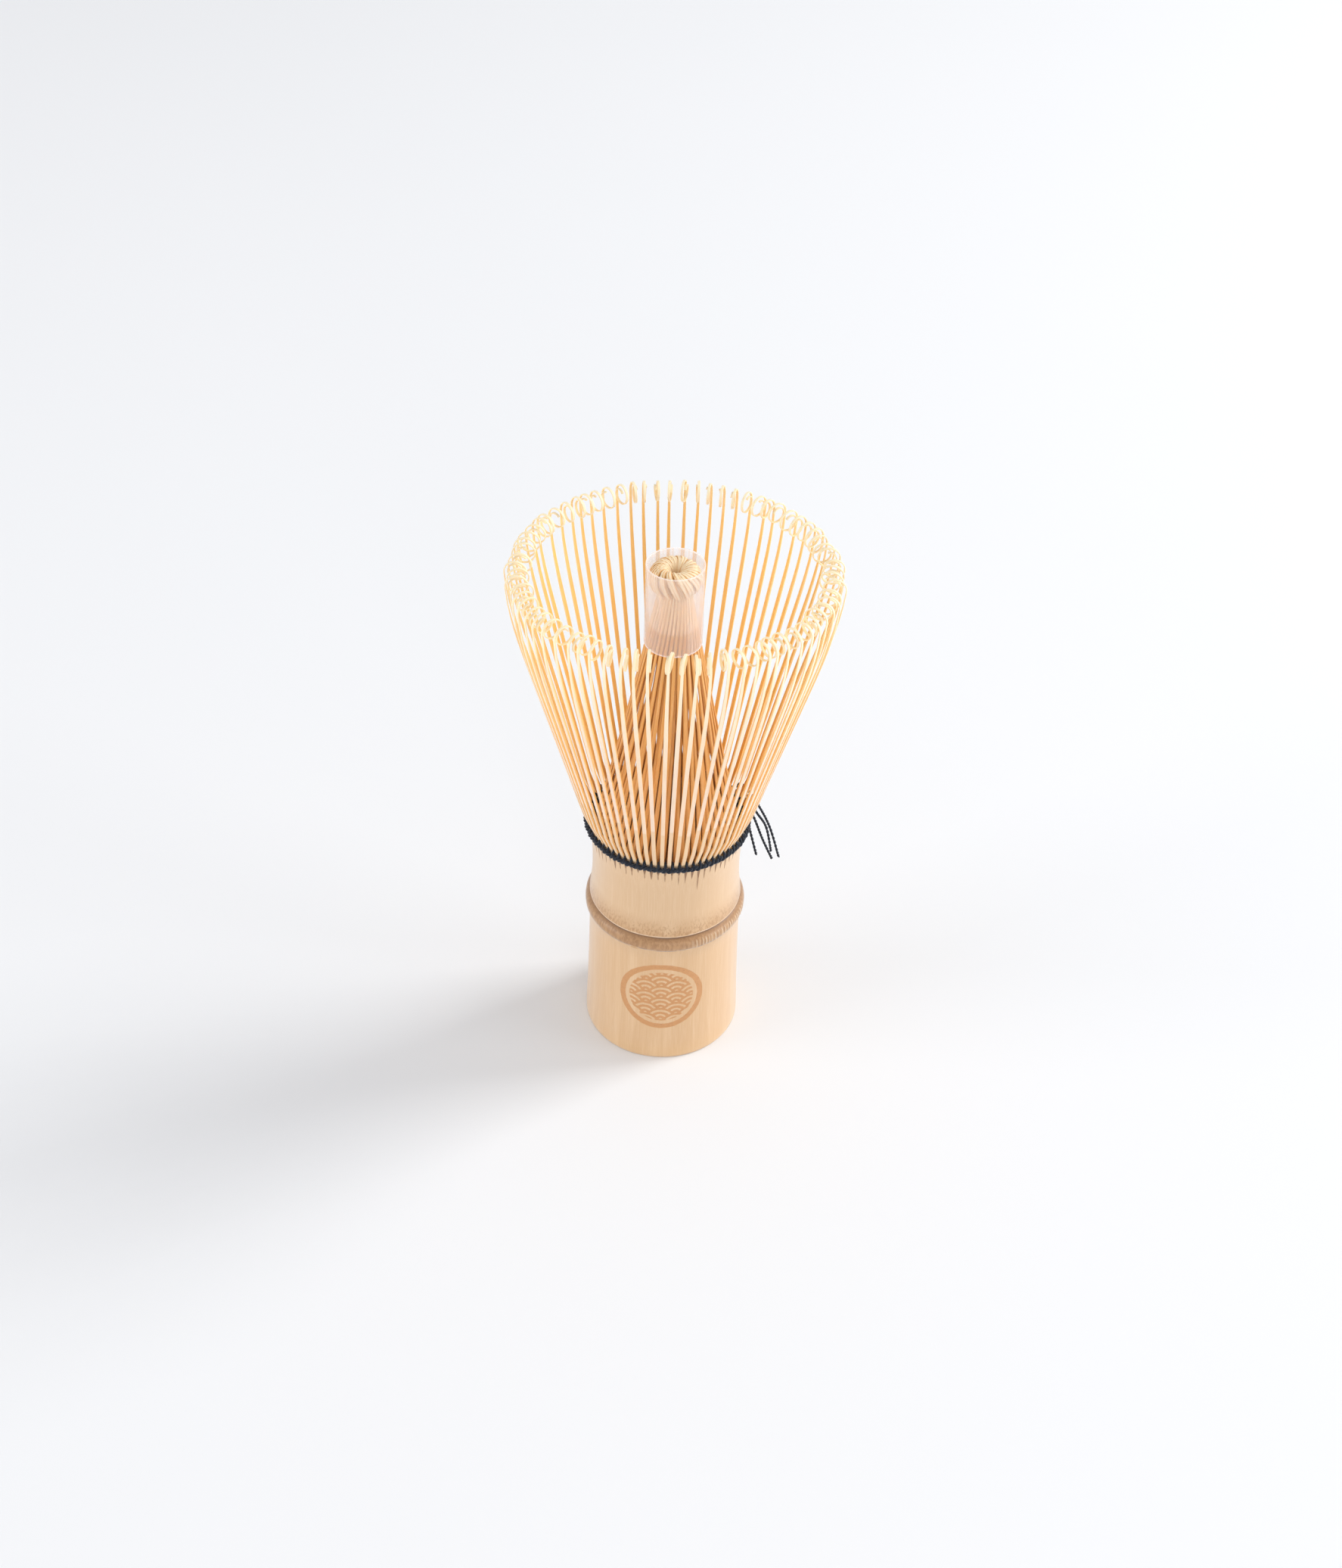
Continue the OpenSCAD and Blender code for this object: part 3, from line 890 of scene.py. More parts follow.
@dataclass
class Culm:
    """The culm: skin with its node, nicks between the tines, hollow foot and upper hollow."""

    layout: Layout
    foot_r: float = 14.85 * MM
    foot_wall: float = 3.45 * MM
    split_r: float = 14.4 * MM
    split_wall: float = 3.5 * MM
    waist_r: float = 13.72 * MM
    node_z: float = 29.5 * MM
    plate_t: float = 2.6 * MM
    around: int = 432
    nick_depth: float = 3.0 * MM
    split_depth: float = 2.6 * MM
    split_gaps: tuple = (59, 31, 14)
    chip_at: float = -111.0
    chip_depth: float = 0.34 * MM
    scale_from: float = -78.0
    scale_to: float = -8.0
    swell: float = 0.09 * MM

    def skin_line(self) -> list[tuple[float, float]]:
        """Radius and height of the outer skin, from the foot to the split."""
        top = self.layout.split_z
        node, foot, waist = self.node_z, self.foot_r, self.waist_r
        shoulder = foot - 0.52 * MM
        crest = foot + 0.19 * MM
        shape = [
            (foot - 0.42 * MM, 0.0),
            (foot - 0.12 * MM, 0.12 * MM),
            (foot, 0.5 * MM),
            (foot - 0.04 * MM, 2.5 * MM),
            (foot - 0.28 * MM, 0.3 * node),
            (foot - 0.50 * MM, 0.6 * node),
            (shoulder - 0.10 * MM, node - 4.5 * MM),
            (shoulder - 0.04 * MM, node - 2.6 * MM),
            (shoulder + 0.12 * MM, node - 1.7 * MM),
            (shoulder + 0.14 * MM, node - 1.35 * MM),
            (crest - 0.22 * MM, node - 1.05 * MM),
            (crest - 0.02 * MM, node - 0.6 * MM),
            (crest, node),
            (crest - 0.10 * MM, node + 0.6 * MM),
            (crest - 0.40 * MM, node + 1.1 * MM),
            (crest - 0.80 * MM, node + 1.45 * MM),
            (crest - 1.02 * MM, node + 1.62 * MM),
            (crest - 1.00 * MM, node + 1.78 * MM),
            (crest - 0.78 * MM, node + 1.95 * MM),
            (crest - 0.80 * MM, node + 2.4 * MM),
            (crest - 0.95 * MM, node + 3.6 * MM),
            (waist + 0.10 * MM, node + 6.0 * MM),
            (waist, node + 9.0 * MM),
            (waist + 0.04 * MM, top - 7.0 * MM),
            (waist + 0.16 * MM, top - 4.5 * MM),
            (self.split_r - 0.28 * MM, top - 2.0 * MM),
            (self.split_r, top),
        ]
        return self._filled(shape, 1.0 * MM)

    @staticmethod
    def _filled(shape: Sequence[tuple[float, float]], gap: float) -> list[tuple[float, float]]:
        """Adds points so that no step of the outline is longer than a gap."""
        out = [shape[0]]
        for (r0, z0), (r1, z1) in zip(shape, shape[1:]):
            steps = max(1, math.ceil((z1 - z0) / gap))
            out += [(r0 + (r1 - r0) * k / steps, z0 + (z1 - z0) * k / steps) for k in range(1, steps + 1)]
        return out

    def _turned(self) -> bpy.types.Object:
        """Draws one ring of the outline after another, from under the node's plate round to its top."""
        hollow, upper = self.foot_r - self.foot_wall, self.split_r - self.split_wall
        under, over = self.node_z - self.plate_t / 2, self.node_z + self.plate_t / 2
        top = self.layout.split_z
        inside = [
            (0.3 * MM, under),
            (hollow * 0.55, under - 0.15 * MM),
            (hollow - 0.9 * MM, under - 0.2 * MM),
            (hollow, under - 1.1 * MM),
            (hollow + 0.05 * MM, 0.5 * under),
            (hollow + 0.05 * MM, 0.6 * MM),
            (hollow + 0.3 * MM, 0.0),
        ]
        rim = [
            (self.split_r - 0.36 * MM, top),
            (upper + 0.2 * MM, top),
            (upper, top - 0.3 * MM),
            (upper, over + 1.0 * MM),
            (upper - 0.9 * MM, over + 0.1 * MM),
            (upper * 0.5, over),
            (0.3 * MM, over + 0.05 * MM),
        ]
        outline = inside + self.skin_line() + rim
        radius, height = outline[0]
        Bench.clear()
        bpy.ops.mesh.primitive_circle_add(vertices=self.around, radius=radius, location=(0, 0, height))
        Bench.edit()
        for next_radius, next_height in outline[1:]:
            Bench.pull((0, 0, next_height - height))
            scale = next_radius / radius
            Bench.size((scale, scale, 1), (0, 0, next_height))
            radius, height = next_radius, next_height
        bpy.ops.mesh.merge(type="CENTER")
        Bench.pick(lambda co: co.xy.length < 0.4 * MM and co.z < self.node_z)
        bpy.ops.mesh.merge(type="CENTER")
        blank = Bench.done()
        bpy.ops.object.transform_apply(location=True, rotation=True, scale=True)
        Bench.face_outwards(blank)
        return blank

    def _weather(self, blank: bpy.types.Object) -> None:
        """Cuts the nicks between the tines and gives the node its uneven ridge, scales and chip."""
        places = Bench.points(blank)
        radius = np.hypot(places[:, 0], places[:, 1])
        angle = np.arctan2(places[:, 1], places[:, 0])
        skin = [(height, out) for out, height in self.skin_line()]
        nick, scales, inside = (np.zeros(len(places)) for _ in range(3))
        top, half_step = self.layout.split_z, math.pi / self.around
        for k, (r, a, z) in enumerate(zip(radius, angle, places[:, 2])):
            outer_r = between(z, skin)
            sawn = z < 0.1 * MM and r < self.foot_r - 0.5 * MM
            inside[k] = 1.0 if sawn or r < outer_r - 0.3 * MM else 0.0
            gap = round(a / PITCH)
            if z > top - 0.1 * MM and abs(a - gap * PITCH) < half_step:
                depth = self._nick(gap % TINE_COUNT) * (1 if r > self.split_r - 0.6 * MM else 0.6)
                z -= depth
                r = min(r, between(z, skin))
                nick[k] = 1.0
            elif r > outer_r - 0.2 * MM:
                grow, scales[k] = self._ridge_swell(a, z)
                r += grow
            places[k] = (r * math.cos(a), r * math.sin(a), z)
        Bench.move_points(blank, places)
        Bench.numbers(blank, "nick", nick)
        # the scale attribute says how much painted highlight each scale gets
        Bench.numbers(blank, "scale", scales)
        Bench.numbers(blank, "inside", inside)

    def _nick(self, gap: int) -> float:
        """Depth of the nick at a gap between tines; a few run on as splits."""
        depth = self.nick_depth + 1.0 * MM * vary(gap, 11)
        if gap in self.split_gaps:
            depth += self.split_depth
        return depth

    def _ridge_swell(self, angle: float, z: float) -> tuple[float, float]:
        """How far the skin stands off its turned shape.

        Args:
            angle: Side of the culm, in radians.
            z: Height.

        Returns:
            The offset, and how much painted highlight the ridge's scale gets there.
        """
        slow = math.sin(angle * 2 + 0.7) * 0.4 + math.sin(angle * 5 + 2.1) * 0.3
        slow += math.sin(angle * 11) * 0.12
        near = math.exp(-(((z - self.node_z) / (1.6 * MM)) ** 2))
        grow = self.swell * slow * near + 0.03 * MM * math.sin(angle * 3 + 1)
        degrees = math.degrees(angle)
        scale = 0.0
        if self.scale_from < degrees < self.scale_to and abs(z - self.node_z - 0.1 * MM) < 0.85 * MM:
            phase = 0.5 + 0.5 * math.sin(degrees * math.tau / 2.9 + 2 * math.sin(degrees * 0.21))
            fade = ease(degrees, self.scale_from, -60)
            scale = fade * ease(phase, 0.62, 0.95) * (0.3 + 0.7 * abs(math.sin(degrees * 0.37 + 1)))
            grow += self.swell * scale
        beside = (degrees - self.chip_at) / 4.2
        below = (z - self.node_z + 1.15 * MM) / (0.42 * MM)
        chip = math.exp(-(beside**2) - (below**2))
        return grow - self.chip_depth * ease(chip, 0.35, 0.8), scale * 0.55

    def build(self) -> None:
        """Makes the culm and stands it for its node."""
        culm = self._turned()
        self._weather(culm)
        Bench.finish(culm, "bamboo_culm", CulmSkin().build(), 28.0)
        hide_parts("culm")
        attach(culm, Body.ROOT.value)
        LOG.info("culm: %d faces", len(culm.data.polygons))


# ---- outer crown


@dataclass
class OuterCrown:
    """The outer tines: each a flat strip that leans out, straightens and ends in a curl."""

    layout: Layout
    split_r: float = 14.4 * MM
    tine_w: float = 0.72 * MM
    inner_share: float = 0.94
    curl_drift: float = 0.75 * MM
    curl_twist: float = 12.0
    root_t: float = 0.36 * MM
    tip_t: float = 0.20 * MM
    lean: float = 15.6
    root_lean: float = 23.0
    upright_l: float = 0.86 * MM
    root_l: float = 4.5 * MM
    flare_l: float = 33.0 * MM
    bend_l: float = 17.0 * MM
    bend_steps: int = 6
    curl_d: float = 3.9 * MM
    curl_turns: float = 1.35
    curl_steps: int = 20
    curl_kinds: int = 9
    bend_zone: float = 16.0 * MM
    tip_narrow: float = 0.38

    def _steps(self, kind: int) -> list[tuple[float, float]]:
        """Headings in degrees outwards of upright, each with its length, for one kind of curl."""
        size = self.curl_d * (1 + 0.07 * vary(kind, 2))
        turns = self.curl_turns + 0.14 * vary(kind, 3)
        steps = [(0.0, self.upright_l), (self.root_lean, self.root_l)]
        steps += [(self.lean, self.flare_l / 4)] * 4
        for k in range(self.bend_steps):
            share = (k + 0.5) / self.bend_steps
            steps.append((self.lean * (1 - 0.75 * share**2), self.bend_l / self.bend_steps))
        for k in range(round(turns * self.curl_steps)):
            share = (k + 0.5) / self.curl_steps
            radius = size / 2 * (1.06 - 0.34 * share)
            steps.append((self.lean * 0.25 - 360 * share, 2 * radius * math.sin(math.pi / self.curl_steps)))
        return steps

    def _strip(self, kind: int) -> bpy.types.Object:
        """Draws one tine out of a small flat plate, step by step, at the axis."""
        steps = self._steps(kind)
        Bench.clear()
        bpy.ops.mesh.primitive_plane_add(size=1, location=(0, 0, 0))
        Bench.edit()
        Bench.size((self.root_t, self.tine_w, 1))
        Bench.pick(lambda co: co.x < 0)
        Bench.size((1, self.inner_share, 1))
        Bench.pick(lambda co: co.x > 0)
        bpy.ops.mesh.bevel(affect="VERTICES", offset=0.07 * MM, segments=1)
        bpy.ops.mesh.select_all(action="SELECT")
        at = Vector((0.0, 0.0, 0.0))
        facing = 0.0
        line = [at.copy()]
        for k, (heading, length) in enumerate(steps):
            ahead = steps[min(k + 1, len(steps) - 1)][0]
            step = Vector((math.sin(math.radians(heading)), 0, math.cos(math.radians(heading)))) * length
            Bench.pull(step)
            at = at + step
            line.append(at.copy())
            Bench.turn(math.radians((heading + ahead) / 2 - facing), "Y", at)
            facing = (heading + ahead) / 2
        strip = Bench.done()
        Bench.face_outwards(strip)
        self._thin(strip, line, steps, kind)
        return strip

    def _loosened(
        self, flat: np.ndarray, along: np.ndarray, start: float, stop: float, kind: int
    ) -> np.ndarray:
        """Turns a curl a little out of its plane and lets its turns drift apart sideways."""
        share = np.clip((along - start) / (stop - start), 0, 1)
        sign = 1.0 if vary(kind, 41) > -0.2 else -1.0
        twist = np.radians(self.curl_twist * (0.55 + 0.45 * vary(kind, 42))) * sign
        twist = twist * np.minimum(1, share * 4)
        drift = self.curl_drift * (0.75 + 0.25 * vary(kind, 43)) * sign * share
        pivot = float(flat[share > 0, 0].max()) if (share > 0).any() else 0.0
        x, y = flat[:, 0] - pivot, flat[:, 1]
        turned_x = pivot + x * np.cos(twist) - y * np.sin(twist)
        turned_y = x * np.sin(twist) + y * np.cos(twist) + drift
        return np.column_stack([turned_x, turned_y, flat[:, 2]])

    def _thin(
        self,
        strip: bpy.types.Object,
        line: Sequence[Vector],
        steps: Sequence[tuple[float, float]],
        kind: int,
    ) -> None:
        """Thins a tine towards its tip, and stores how far along and on which face each part lies."""
        path = np.array([(p.x, p.z) for p in line])
        lengths = np.concatenate([[0], np.cumsum([length for _, length in steps])])
        ring = 6
        places = Bench.points(strip)
        nearest = self._stations(places, path)
        out = places[:, [0, 2]] - path[nearest]
        along = lengths[nearest]
        start, end = self.root_l + self.flare_l, self.root_l + self.flare_l + self.bend_l
        thin = np.array([1 + (self.tip_t / self.root_t - 1) * ease(a, start, end) for a in along])
        narrow = np.array([1 - self.tip_narrow * ease(a, start, end + 3 * MM) for a in along])
        moved = path[nearest] + out * thin[:, None]
        flat = np.column_stack([moved[:, 0], places[:, 1] * narrow, moved[:, 1]])
        Bench.move_points(strip, self._loosened(flat, along, end, lengths[-1], kind))
        last = len(steps) - 1
        facing = [(steps[max(k - 1, 0)][0] + steps[min(k, last)][0]) / 2 for k in range(len(path))]
        facing[0] = 0.0
        outward = np.array([(math.cos(math.radians(a)), -math.sin(math.radians(a))) for a in facing])
        offset = (out * outward[nearest]).sum(1) / (self.root_t / 2)
        kinds = []
        for face in strip.data.polygons:
            mean = float(np.mean([offset[v] for v in face.vertices]))
            flank = len(face.vertices) == ring or abs(mean) <= 0.75
            kinds.append(0.5 if flank else float(mean > 0))
        Bench.numbers(strip, "face", kinds, "FACE")
        Bench.numbers(strip, "along", along / MM)
        Bench.numbers(strip, "across", places[:, 1] / MM)

    @staticmethod
    def _stations(places: np.ndarray, path: np.ndarray) -> np.ndarray:
        """Number of the nearest point of the path for each vertex, read in order along the strip."""
        distance = np.linalg.norm(places[:, None, [0, 2]] - path[None], axis=2)
        return distance.argmin(1)

    def _place(self, number: int) -> Matrix:
        """Where tine number stands, with its own small lean and twist."""
        edge = number % TINES_EACH in (0, TINES_EACH - 1)
        still = 0.6 if edge else 1.0
        lean = math.radians(self.lean)
        return (
            Matrix.Rotation((number + 0.5) * PITCH, 4, "Z")
            @ Matrix.Translation((self.split_r - self.root_t / 2, 0, self.layout.root_z))
            @ Matrix.Rotation(math.radians(0.8 * still * vary(number, 4)), 4, "X")
            @ Matrix.Rotation(math.radians(0.35 * vary(number, 1)), 4, "Y")
            @ Matrix.Rotation(lean, 4, "Y")
            @ Matrix.Rotation(math.radians(3.5 * still * vary(number, 5)), 4, "Z")
            @ Matrix.Rotation(-lean, 4, "Y")
        )

    def build(self) -> None:
        """Makes the eighteen sections of four tines each."""
        kinds = [self._strip(kind) for kind in range(self.curl_kinds)]
        bamboo = OUTER_BAMBOO.build()
        for section in range(SECTIONS):
            tines = []
            for k in range(TINES_EACH):
                number = section * TINES_EACH + k
                tine = Bench.add("tine", kinds[number % self.curl_kinds].data.copy())
                tine.data.transform(self._place(number))
                tint = 0.5 + 0.5 * vary(number, 7)
                Bench.numbers(tine, "tint", [tint] * len(tine.data.vertices))
                tines.append(tine)
            name = f"{section + 1:02d}"
            crown = Bench.join(f"crown_tines_{name}", tines)
            Bench.finish(crown, f"crown_tines_{name}", bamboo, 35.0)
            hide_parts(f"outer_tines_{name}")
            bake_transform(crown)
        for kind in kinds:
            bpy.data.objects.remove(kind)
        LOG.info("outer crown: %d sections", SECTIONS)


# ---- inner bundle


@dataclass
class InnerBundle:
    """The inner tines, drawn together into a neck and folded over into a swirled head."""

    layout: Layout
    root_r: float = 13.0 * MM
    root_w: float = 0.82 * MM
    low_w: float = 0.60 * MM
    neck_w: float = 0.48 * MM
    head_w: float = 0.72 * MM
    thick: float = 0.34 * MM
    layer_step: float = 0.55 * MM
    bundle_swirl: float = 14.0
    neck_swirl: float = 13.0
    head_swirl: float = 60.0
    head_bank: float = 10.0
    hole_r: float = 0.80 * MM
    head_r: float = 4.45 * MM
    head_h: float = 4.7 * MM
    film_gap: float = 0.46 * MM
    throat_up: float = 10.2 * MM
    throat_r: float = 2.74 * MM
    swirl_share: float = 0.82
    bow: float = 0.22 * MM
    head_rise: float = 0.45 * MM
    deep_in: float = 0.5 * MM
    fold_steps: int = 12
    fold_from: float = 188.0
    fold_to: float = -52.0
    tip_taper: float = 0.35

    def _line(self, number: int) -> tuple[np.ndarray, np.ndarray, np.ndarray]:
        """One tine's course.

        Args:
            number: Number of the tine round the bundle.

        Returns:
            Points, the direction across the tine at each, and its width there.
        """
        deep = number % 2
        low, throat = self.layout.sleeve_low, self.layout.sleeve_low + self.throat_up
        stay = self.layout.sleeve_r - self.film_gap
        stations = []
        jitter = 0.9 * vary(number, 21)
        for share in np.linspace(0, 1, 9):
            z = self.layout.root_z + share * (low - self.layout.root_z)
            bow = self.bow * math.sin(math.pi * share) * vary(number, 22)
            r = self.root_r + (stay - self.root_r) * share + bow
            r -= deep * self.layer_step * ease(share, 0.05, 0.6)
            swirl = self.bundle_swirl * share * self.swirl_share + jitter * math.sin(math.pi * share)
            width = self.root_w + (self.low_w - self.root_w) * ease(share, 0, 0.9)
            stations.append((r, z, swirl, 0.0, width))
        for share in (0.25, 0.5, 0.75, 0.95):
            z = low + share * (throat - low)
            r = stay + (self.throat_r - stay) * share - deep * self.layer_step
            width = self.low_w + (self.neck_w - self.low_w) * share
            swirl = self.bundle_swirl * self.swirl_share + self.neck_swirl * share
            stations.append((r, z, swirl, 0.0, width))
        stations += self._fold(number, deep)
        points, across, widths = [], [], []
        for r, z, swirl, bank, width in stations:
            angle = (number + 0.5) * PITCH + math.radians(swirl)
            points.append(polar(r, angle, z))
            side = Vector((-math.sin(angle), math.cos(angle), 0))
            tilt = Vector((math.cos(angle), math.sin(angle), 0)) + Vector((0, 0, 1))
            across.append(side + tilt * math.tan(math.radians(bank)) * 0.5)
            widths.append(width)
        return np.array(points), np.array(across), np.array(widths)

    def _fold(self, number: int, deep: int) -> list[tuple[float, float, float, float, float]]:
        """Stations up the middle, outwards over the head and down to the curled end."""
        half_h = self.head_h / 2 * (0.96 + 0.04 * vary(number, 23)) - deep * self.deep_in
        middle_r = (self.head_r + self.hole_r) / 2 + deep * 0.1 * MM
        half_w = (self.head_r - self.hole_r) / 2 * (0.97 + 0.03 * vary(number, 24)) - deep * self.deep_in
        middle_z = self.layout.head_top - self.head_h / 2 + self.head_rise
        last = self.fold_to - 40 * (0.5 + 0.5 * vary(number, 25))
        twist = 7 * vary(number, 26)
        bank = self.head_bank + 16 * vary(number, 27)
        out = []
        start_w = self.neck_w * 0.45
        turned = self.bundle_swirl * self.swirl_share + self.neck_swirl
        for k in range(self.fold_steps + 1):
            share = k / self.fold_steps
            a = math.radians(self.fold_from + (last - self.fold_from) * share)
            r = middle_r + half_w * math.cos(a)
            z = middle_z + half_h * math.sin(a)
            swirl = turned + (self.head_swirl + twist) * ease(share, -0.15, 1.1)
            wide = start_w + (self.head_w - start_w) * ease(share, 0.05, 0.5)
            wide *= (1 - self.tip_taper * ease(share, 0.85, 1.0)) * (1 - 0.35 * deep)
            out.append((r, z, swirl, bank * ease(share, 0.0, 0.3), wide))
        return out

    def build(self) -> None:
        """Makes the eighteen groups of four tines each."""
        bamboo = INNER_BAMBOO.build()
        half, flat = 0.5, self.thick / 2
        outline = [(-half, -0.25), (-0.7 * half, -0.8), (0.0, -1.0), (0.7 * half, -0.8), (half, -0.25)]
        outline += [(-x, -y) for x, y in outline]
        for section in range(SECTIONS):
            skein = Skein()
            for k in range(TINES_EACH):
                number = section * TINES_EACH + k
                line, across, widths = self._line(number)
                gaps = np.linalg.norm(np.diff(line, axis=0), axis=1)
                along = np.concatenate([[0], np.cumsum(gaps)]) / MM
                scale = np.column_stack([widths, np.full(len(line), flat)])
                tint = 0.5 + 0.5 * vary(number, 8)
                # in the head the sunk odd strands get the darker pith face: their pith colour, and painted
                # shade for their sunk place; even strands get the skin face
                face = np.where(along > 46, 0.1 if number % 2 else 0.9, 0.6)
                skein.sweep(line, across, outline, scale, along=along, tint=tint, face=face)
            name = f"{section + 1:02d}"
            tines = Bench.finish(skein.make(f"bundle_tines_{name}"), f"bundle_tines_{name}", bamboo, 50.0)
            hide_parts(f"inner_tines_{name}")
            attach(tines, Body.ROOT.value)
        LOG.info("inner bundle: %d tines", TINE_COUNT)


# ---- lacing


@dataclass
class Lacing:
    """The thread: an outer and an inner ring, the crossings between tines, the knot and its ends."""

    layout: Layout
    ply_r: float = 0.27 * MM
    twist_r: float = 0.235 * MM
    dip: float = 0.13 * MM
    steps: int = 12
    crossing_r: float = 0.235 * MM
    end_r: float = 0.15 * MM
    end_gap: float = 0.18 * MM
    knot_points: int = 84
    knot_ply_r: float = 0.21 * MM
    knot_twist_r: float = 0.14 * MM
    routes: tuple = (
        ((0.1, -1.2, -0.4), (1.1, -1.5, -3.5), (2.0, -2.5, -6.9), (3.4, -3.8, -11.7)),
        ((0.4, -0.6, -0.95), (2.3, -1.2, -4.5), (4.1, -2.8, -8.4), (6.1, -3.8, -12.4)),
        ((0.85, -0.5, -0.6), (2.2, -0.7, -4.0), (4.2, -1.7, -6.8), (5.4, -2.9, -11.8)),
        ((1.15, 0.1, -0.3), (2.4, -0.3, -3.8), (4.7, -1.2, -8.2), (6.7, -2.9, -14.1)),
    )

    def _ply(
        self, skein: Skein, line: np.ndarray, radius: float, twist: float, turns: float, closed: bool
    ) -> None:
        """Adds a two-ply thread along a line.

        Args:
            skein: Where the plies go.
            line: The thread's own centre line.
            radius: Radius of one ply.
            twist: Distance of a ply's middle from the line.
            turns: Turns that the plies make round each other.
            closed: Whether the line runs back into its start.
        """
        count = len(line)
        tangent = tangents(line, closed)
        guide = np.array([[-0.35, 0.2, 1.0]]) if not closed else np.array([[0.0, 0.0, 1.0]])
        up = guide - (tangent * guide).sum(1)[:, None] * tangent
        up /= np.linalg.norm(up, axis=1)[:, None]
        side = np.cross(tangent, up)
        share = np.arange(count) / (count if closed else count - 1)
        for ply in (0, math.pi):
            phase = math.tau * turns * share + ply
            offset = np.cos(phase)[:, None] * side + np.sin(phase)[:, None] * up
            skein.sweep(line + offset * twist, offset, round_section(radius, 8), closed=closed)

    def _ring(self, name: str, radius: float, dip: float, thin: float) -> bpy.types.Object:
        """A ring of thread with one bump for each tine."""
        count = TINE_COUNT * self.steps
        angle = np.arange(count) * math.tau / count
        wave = np.cos(angle * TINE_COUNT)
        drift = 0.05 * MM * np.sin(angle * 7 + 1) + 0.04 * MM * np.sin(angle * 17)
        r = radius - dip * (0.5 + 0.5 * wave)
        z = self.layout.ring_z + drift + 0.04 * MM * np.sin(angle * TINE_COUNT)
        line = np.column_stack([r * np.cos(angle), r * np.sin(angle), z])
        skein = Skein()
        self._ply(skein, line, self.ply_r * thin, self.twist_r * thin, TINE_COUNT * 0.75, True)
        return skein.make(name)

    def _crossings(self) -> bpy.types.Object:
        """The thread between the tines, humped over from the outer ring to the inner one."""
        skein = Skein()
        z = self.layout.ring_z
        outer, inner = self.layout.ring_r, self.layout.inner_ring_r
        for gap in range(TINE_COUNT):
            angle = gap * PITCH + math.radians(0.25) * vary(gap, 31)
            rise = 0.92 * MM + 0.2 * MM * vary(gap, 32)
            route = [
                (outer + 0.12 * MM, -0.1 * MM),
                (outer - 0.1 * MM, 0.62 * MM),
                (outer - 0.55 * MM, rise),
                (inner + 0.1 * MM, rise * 0.85),
                (inner - 0.1 * MM, 0.0),
            ]
            points = np.array([polar(r, angle, z + up) for r, up in route])
            line = through(points, 11)
            side = np.tile([[-math.sin(angle), math.cos(angle), 0.0]], (len(line), 1))
            skein.sweep(line, side, round_section(self.crossing_r, 8))
        return skein.make("thread_crossings")

    def _knot(self) -> bpy.types.Object:
        """A small overhand knot, drawn tight."""
        share = np.arange(self.knot_points) / self.knot_points * math.tau
        x = np.sin(share) + 2 * np.sin(2 * share)
        y = np.cos(share) - 2 * np.cos(2 * share)
        z = -np.sin(3 * share)
        local = np.column_stack([x * 0.22, y * 0.30, z * 0.36]) * MM
        angle = math.atan2(self.layout.knot.y, self.layout.knot.x)
        turn = np.array(Matrix.Rotation(angle, 3, "Z") @ Matrix.Rotation(math.pi / 2, 3, "Y"))
        line = local @ turn.T + np.array(self.layout.knot)
        skein = Skein()
        self._ply(skein, line, self.knot_ply_r, self.knot_twist_r, 12, True)
        return skein.make("thread_knot")

    def _end(self, number: int) -> bpy.types.Object:
        """One loose end that hangs off the knot."""
        low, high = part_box("lacing_knot")
        away = Vector(self.routes[number][0]).normalized() * ((high.x - low.x) / 2 + self.end_gap)
        course = np.array([(0.0, 0.0, 0.0), *self.routes[number][1:]]) * MM
        line = through(course, 64) + np.array(self.layout.knot + away)
        lead = np.array(self.layout.knot)[None] + np.array(away)[None] * np.array([[0.35], [0.7]])
        line = np.vstack([lead, line])
        skein = Skein()
        self._ply(skein, line, self.end_r, self.end_r * 0.85, 11 + number, False)
        return skein.make(f"thread_tail_{number + 1}")

    def build(self) -> None:
        """Makes all of the thread."""
        navy = NavyThread().build()
        pieces = {
            "outer_lacing": self._ring("thread_outer_ring", self.layout.ring_r + 0.12 * MM, self.dip, 1.0),
            "inner_lacing": self._ring("thread_inner_ring", self.layout.inner_ring_r, self.dip, 0.74),
            "lacing_crossings": self._crossings(),
            "lacing_knot": self._knot(),
        }
        for number in range(len(self.routes)):
            pieces[f"thread_end_{number + 1}"] = self._end(number)
        for node, piece in pieces.items():
            Bench.finish(piece, piece.name, navy, 60.0)
            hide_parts(node)
            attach(piece, Body.ROOT.value)
            LOG.info("%s: %d faces", piece.name, len(piece.data.polygons))


# ---- sleeve


